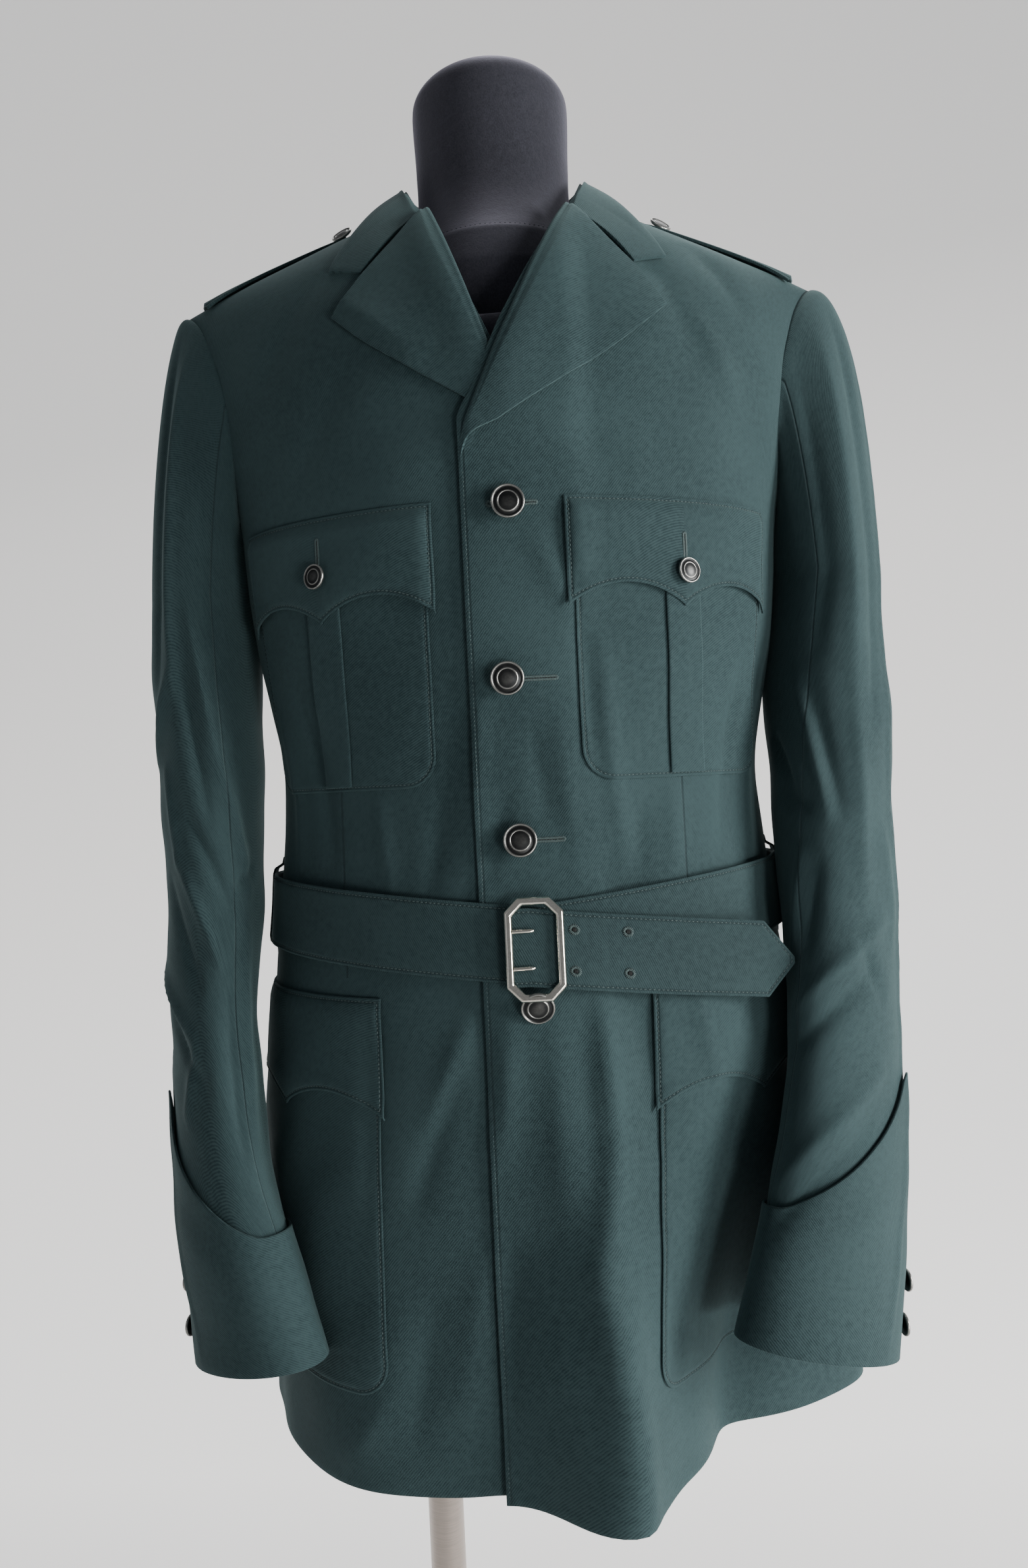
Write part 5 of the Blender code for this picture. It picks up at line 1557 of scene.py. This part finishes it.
# %% Sewn eyelets
EYELETS = ((0.0257, 0.0125), (0.0255, -0.0125), (0.0568, 0.0130), (0.0565, -0.0120))
for i, (x, v) in enumerate(EYELETS):
    around = np.linspace(0, 2 * pi, 19)[:-1]
    spots = np.stack((x + 0.0024 * np.cos(around), v + 0.0024 * np.sin(around)), -1)
    here = belt_end_point(spots[:, 0], spots[:, 1], BELT + 0.0001)
    inwards = belt_end_point(x, v, BELT + 0.0001) - here
    up_there = belt_end_point(spots[:, 0], spots[:, 1], BELT + 0.002) - here
    threads(f"eyelet_{i + 1}_purl", here, inwards, up_there, 0.0022, 0.00042)
    # painted shadow: a dark cluster of grains in each eyelet's hole
    spots = np.array([(x + dx, v) for dx in (-0.0006, 0.0, 0.0006)])
    here = belt_end_point(spots[:, 0], spots[:, 1], BELT + 0.0001)
    upright, forwards = np.tile((0, 0, 1.0), (3, 1)), np.tile((0, -1.0, 0), (3, 1))
    threads(f"eyelet_{i + 1}_hole_shadow", here, upright, forwards, 0.0026, 0.0007, "slit")


# %% Belt loops at the sides
over = BELT_LIFT + BELT + 0.0006
# distance from the belt's middle, lift
LOOP = ((0, over + 0.0004), (0.022, over + 0.0006), (0.0262, over - 0.0004), (0.030, WALL + 0.0010),
        (0.0345, WALL + 0.0004))
for side, tag in TAGS.items():
    v = np.linspace(-LOOP[-1][0], LOOP[-1][0], 64)[:, None]
    lift = np.interp(np.abs(v), [row[0] for row in LOOP], [row[1] for row in LOOP])
    angles = side * np.radians(np.linspace(88.2, 93.2, 12))[None, :]
    points = cloth(angles + 0 * v, belt_height(pi / 2) + v + 0 * angles, lift + TRIM + 0 * angles)
    name, order = f"belt_loop_{tag}", slice(None, None, side)
    sheet_of(f"{name}_cloth", points[:, order], TRIM, "belt", [name])


# %% The buckle
BUCKLE_W, BUCKLE_H, BUCKLE_BAR, BUCKLE_DEEP = 0.036, 0.062, 0.0050, 0.0032
BUCKLE_X, BUCKLE_Z = 0.003, BELT_FRONT - 0.001


def octagon(wide, tall, corner):
    w, h = wide / 2, tall / 2
    return [(-w + corner, -h), (w - corner, -h), (w, -h + corner), (w, h - corner),
            (w - corner, h), (-w + corner, h), (-w, h - corner), (-w, -h + corner)]


lift = BELT_LIFT + 2 * BELT + LAY + 0.0008
high, low = (min(cloth(*chart(BUCKLE_X + s, BUCKLE_Z + z), lift)[1] for s in (-0.012, 0, 0.012))
             for z in (half, -half))


def buckle_plane(dz):
    """How far forward the buckle's back lies at a height over its middle."""
    return (high + low) / 2 + (high - low) / BELT_WIDTH * dz


# bars' widths taken off the outline, the corner, share of the thickness
SECTION = ((0, 0.0085, 0.0), (0, 0.0085, 0.55), (0.5, 0.0080, 1), (1.4, 0.0070, 1), (2, 0.0062, 0.5),
           (2, 0.0062, 0.0))
grid = np.array([
    [(BUCKLE_X + px, buckle_plane(pz) - BUCKLE_DEEP * deep, BUCKLE_Z + pz)
     for px, pz in octagon(BUCKLE_W - BUCKLE_BAR * off, BUCKLE_H - BUCKLE_BAR * off, corner)]
    for off, corner, deep in SECTION])
grid = np.concatenate((grid, grid[:1]), 0)
grid = np.concatenate((grid, grid[:, :1]), 1)
frame_piece = grid_piece("buckle_frame_steel", grid)
merge_points(0.000005)
soft = frame_piece.modifiers.new("bevel", "BEVEL")
soft.width, soft.segments, soft.limit_method, soft.angle_limit = 0.0007, 4, "ANGLE", radians(20)
apply_modifiers(frame_piece)
bpy.ops.object.shade_smooth_by_angle(angle=radians(35))
write_attribute(frame_piece, "worn", np.full(len(frame_piece.data.vertices), 0.6))
finish_piece(frame_piece, "buckle", ["buckle_frame"])

PRONG = ((0.0, 0.0), (0.0009, 0.0001), (0.00125, 0.0006), (0.00125, 0.0105), (0.0011, 0.0122),
         (0.0007, 0.0132), (0.0, 0.0136))
prong_model = turned("prong_model", PRONG, 24, [0.5] * len(PRONG))
for i, dz in enumerate((0.011, -0.011)):
    spot = (BUCKLE_X - BUCKLE_W / 2 + BUCKLE_BAR * 0.9, buckle_plane(dz) - 0.0022, BUCKLE_Z + dz)
    prong = set_at(prong_model, f"buckle_prong_{i + 1}_steel", spot, (1, 0.10, 0))
    finish_piece(prong, "buckle", [f"buckle_prong_{i + 1}"])
bpy.data.objects.remove(prong_model, do_unlink=True)

# %% [markdown]
# ## The dress form and its stand
# The form is a padded trunk in black jersey, its top closed along the shoulders, with a neck joined on.
# A seam with small stitches runs round the base of the neck.

# %% The form
FORM_LOW, FORM_TAPER, FORM_DROP, FORM_TURNS = 0.700, 0.022, 0.100, 96
NECK_FOOT, NECK_SEAM, NECK_DOME, NECK_Y = 1.352, 1.4262, 1.541, 0.004
FLARE_TOP, FLARE_TALL, FLARE_SIDE, FLARE_AHEAD = 1.492, 0.092, 0.012, 0.034
# height, radius
NECK_ROWS = ((1.400, 0.072), (1.440, 0.0590), (1.465, 0.0545), (1.500, 0.0545), (1.545, 0.0555),
             (1.570, 0.0535), (1.580, 0.0465), (1.586, 0.0340), (1.588, 0.018))


def form_gap(height):
    """How far the form lies inside the cloth."""
    share = np.clip((height - CHEST) / (RIDGE - CHEST), 0, 1)
    low = 0.010 + 0.004 * ease((CHEST - height) / 0.1) + FORM_TAPER * ease((0.90 - height) / 0.2)
    return np.where(height > CHEST, 0.010 - 0.0091 * ease(share / 0.85), low)


turns = np.linspace(0, 2 * pi, FORM_TURNS + 1)[None, :]
upper = np.linspace(CHEST, CHEST + 0.96 * (RIDGE - CHEST), 44)[1:]
heights = np.concatenate((np.linspace(FORM_LOW, CHEST, 50), upper))[:, None]
share = np.clip((heights - CHEST) / (RIDGE - CHEST), 0, 1)
body = cloth(turns + 0 * heights, heights + 0 * turns, -form_gap(heights) - swell(turns, heights))
body[..., 0] *= 1 - 0.10 * ease(share * 2.5) * np.abs(np.sin(turns)) ** 3
body[0, :, 2] = FORM_LOW
# between the shoulders the trunk drops to the foot of the neck
body[..., 2] -= FORM_DROP * ease((0.088 - np.abs(body[..., 0])) / 0.07) * ease((body[..., 2] - 1.34) / 0.13)
mirror = (FORM_TURNS // 2 - np.arange(FORM_TURNS + 1)) % FORM_TURNS
small_rise = np.array((0, 0, 0.0006))
line = (body[-1] + body[-1][mirror]) / 2 + small_rise
closing = [body[-1] + (line - body[-1]) * k + small_rise * sin(pi * k / 2) for k in (0.35, 0.7, 1.0)]
centre = body[0].mean(axis=0)
cap = [centre + (body[0] - centre) * k for k in (0.0, 0.35, 0.7, 0.95, 0.985)]
body = np.concatenate((np.array(cap), body, np.array(closing)), 0)
body[4, :, 2] -= 0.0006


def shell(name, points):
    """A closed shell from a grid whose ends have shrunk to a point or a line."""
    piece = grid_piece(name, points)
    merge_points(0.00002)
    return piece


def neck_point(r, flare, around, z):
    """A point of the neck; the flare widens it towards its foot, mostly in front."""
    ahead = r * 1.02 + FLARE_AHEAD * flare * (np.cos(around) > 0)
    return np.stack(((r + FLARE_SIDE * flare) * np.sin(around), NECK_Y - ahead * np.cos(around),
                     z + 0 * around), -1)


form = shell("dress_form_jersey", body)
around = np.linspace(0, 2 * pi, FORM_TURNS + 1)[None, :]
dome = np.linspace(0, pi / 2, 22)
z = np.concatenate((np.linspace(NECK_FOOT, NECK_DOME, 94), NECK_DOME + 0.028 * np.sin(dome)[1:]))[:, None]
r = read(NECK_ROWS, z, 1)
r[-22:] = (0.0555 * np.cos(dome))[:, None]
r[-1] = 0
r = r - 0.0007 * np.exp(-(((z - NECK_SEAM) / 0.0008) ** 2))
flare = np.minimum(np.clip((FLARE_TOP - z) / FLARE_TALL, 0, 1) ** 2.0, 0.56)
neck = neck_point(r, flare, around, z)
neck = np.concatenate((np.array([[0, NECK_Y, NECK_FOOT]] * (FORM_TURNS + 1))[None], neck), 0)
tool = shell("form_neck_tool", neck)
join = form.modifiers.new("neck", "BOOLEAN")
join.operation, join.solver, join.object = "UNION", "MANIFOLD", tool
apply_modifiers(form)
bpy.data.objects.remove(tool, do_unlink=True)
bpy.ops.object.select_all(action="DESELECT")
form.select_set(True)
bpy.ops.object.shade_smooth_by_angle(angle=radians(50))
finish_piece(form, "jersey", ["dress_form"])
around = np.linspace(0, 2 * pi, 133)[:-1]
r = float(read(NECK_ROWS, NECK_SEAM, 1)) - 0.0002
flare = ((FLARE_TOP - NECK_SEAM) / FLARE_TALL) ** 2.0
spots = neck_point(r, flare, around, NECK_SEAM)
onwards = np.stack((np.cos(around), np.sin(around), 0 * around), -1)
outwards = np.stack((np.sin(around), -np.cos(around), 0 * around), -1)
threads("form_neck_stitches", spots, onwards, outwards, 0.0014, 0.00026, "jersey")

# %% The pole and the base
POLE_X, POLE_R, BASE_R, BASE_T = -0.078, 0.0125, 0.165, 0.012
pole_top, foot_z = FORM_LOW - 0.0010, BASE_T + 0.0005
pole_profile = [
    (0, foot_z), (0.019, foot_z), (0.0195, foot_z + 0.0006), (0.0195, foot_z + 0.013),
    (0.0188, foot_z + 0.0142), (0.0135, foot_z + 0.0150), (POLE_R, foot_z + 0.0160), (POLE_R, 0.655),
    (POLE_R + 0.0004, 0.6555), (POLE_R + 0.0030, 0.6560), (POLE_R + 0.0034, 0.6570),
    (POLE_R + 0.0034, 0.682), (POLE_R + 0.0028, 0.6835), (POLE_R, 0.684), (POLE_R, pole_top - 0.0006),
    (POLE_R - 0.0008, pole_top), (0, pole_top),
]
pole = turned("stand_pole_steel", pole_profile, 64)
pole.data.transform(Matrix.Translation((POLE_X, 0, 0)))
finish_piece(pole, "steel", ["stand_pole"])
base_profile = [
    (0, 0), (BASE_R - 0.0025, 0), (BASE_R - 0.0006, 0.0007), (BASE_R, 0.0026), (BASE_R, BASE_T - 0.0045),
    (BASE_R - 0.0009, BASE_T - 0.0020), (BASE_R - 0.0035, BASE_T - 0.0006), (BASE_R - 0.008, BASE_T),
    (0.024, BASE_T), (0, BASE_T),
]
base = turned("stand_base_paint", base_profile, 128, [0, 0, 0.1, 0.2, 0.3, 0.6, 0.3, 0, 0, 0])
base.data.transform(Matrix.Translation((POLE_X, 0, 0)))
finish_piece(base, "paint", ["stand_base"])

# %% [markdown]
# ## Floor and light
# The wall behind is plain and pale, a little darker at the top left. A sweep far behind the form gives
# the same tone without standing in the way of any other view; its colour is painted darker upwards and
# towards the left as a painted falloff of light, and its part behind the form glows as a painted lamp.
# The main lamp stands at the right, nearly level with the form. A low one in front lifts the skirt, and
# a weak one at the left, one above and a pale sky keep the dark cloth readable.

# %% The sweep
def backdrop():
    path = [(-7.0, 0.0), (3.0, 0.0)]
    path += [(3.0 + 2.5 * sin(a), 2.5 - 2.5 * cos(a)) for a in np.linspace(0, pi / 2, 22)[1:]]
    path += [(5.5, 7.5)]
    widths = np.linspace(-8, 8, 9)
    points = np.array([[(x, y, z - 0.0005) for x in widths] for y, z in path])
    sweep = grid_piece("sweep", points)
    bpy.ops.object.shade_smooth()
    made, tree, shader = new_material("sweep_paper_painted_light", 0.9)
    place = add(tree, "ShaderNodeTexCoord").outputs["Object"]
    split = add(tree, "ShaderNodeSeparateXYZ", Vector=place)
    # painted light falloff: the paper is darker upwards and towards the left, as if lit from the lower right
    painted_light_slant = maths(tree, "MULTIPLY", split.outputs["X"], -0.045)
    rise = maths(tree, "MULTIPLY_ADD", split.outputs["Z"], 0.22, painted_light_slant)
    tone = ramp(tree, rise, (0.0, (0.80, 0.79, 0.78)), (0.22, (0.72, 0.705, 0.69)),
                (0.75, (0.50, 0.495, 0.49)))
    bump = add(tree, "ShaderNodeBump", Height=noise(tree, place, 90.0, 4.0), Distance=0.001, Strength=0.2)
    tree.links.new(tone, shader.inputs["Base Color"])
    # painted glow: the part behind the form emits light although it is no lamp
    behind = ramp(tree, maths(tree, "MULTIPLY", split.outputs["Y"], 0.5), (0.0, (0, 0, 0)),
                  (0.5, (1, 1, 1)))
    painted_glow = tree.nodes.new("ShaderNodeMix")
    painted_glow.data_type, painted_glow.blend_type = "RGBA", "MULTIPLY"
    painted_glow.inputs["Factor"].default_value = 1
    tree.links.new(tone, painted_glow.inputs["A"])
    tree.links.new(behind, painted_glow.inputs["B"])
    tree.links.new(painted_glow.outputs["Result"], shader.inputs["Emission Color"])
    shader.inputs["Emission Strength"].default_value = 1.25
    tree.links.new(bump.outputs[0], shader.inputs["Normal"])
    sweep.data.materials.append(made)


backdrop()


# %% Lamps and sky
def lamp(name, spot, aim, size, power, colour):
    """A soft rectangular lamp at a spot, turned towards its aim."""
    data = bpy.data.lights.new(name, "AREA")
    data.shape, data.size, data.size_y = "RECTANGLE", size[0], size[1]
    data.energy, data.color = power, colour
    made = bpy.data.objects.new(name, data)
    made.location = spot
    made.rotation_euler = (Vector(aim) - Vector(spot)).to_track_quat("-Z", "Y").to_euler()
    bpy.context.scene.collection.objects.link(made)


lamp("key", (2.5, -1.05, 1.30), (0.0, 0.0, 1.0), (0.8, 1.3), 118, (1.0, 0.985, 0.96))
lamp("low", (1.3, -2.1, 0.35), (0.0, 0.0, 0.64), (0.6, 0.5), 32, (1.0, 0.99, 0.97))
lamp("fill", (-2.2, -1.8, 1.5), (0.0, 0.0, 1.1), (1.6, 2.2), 4, (0.93, 0.96, 1.0))
lamp("top", (0.3, 0.8, 3.0), (0.0, 0.0, 1.2), (1.6, 1.2), 20, (1.0, 1.0, 1.0))
world = bpy.data.worlds.new("pale_sky")
bpy.context.scene.world = world
world.use_nodes = True
world.node_tree.nodes["Background"].inputs[0].default_value = (0.86, 0.89, 0.93, 1)
world.node_tree.nodes["Background"].inputs[1].default_value = 0.24
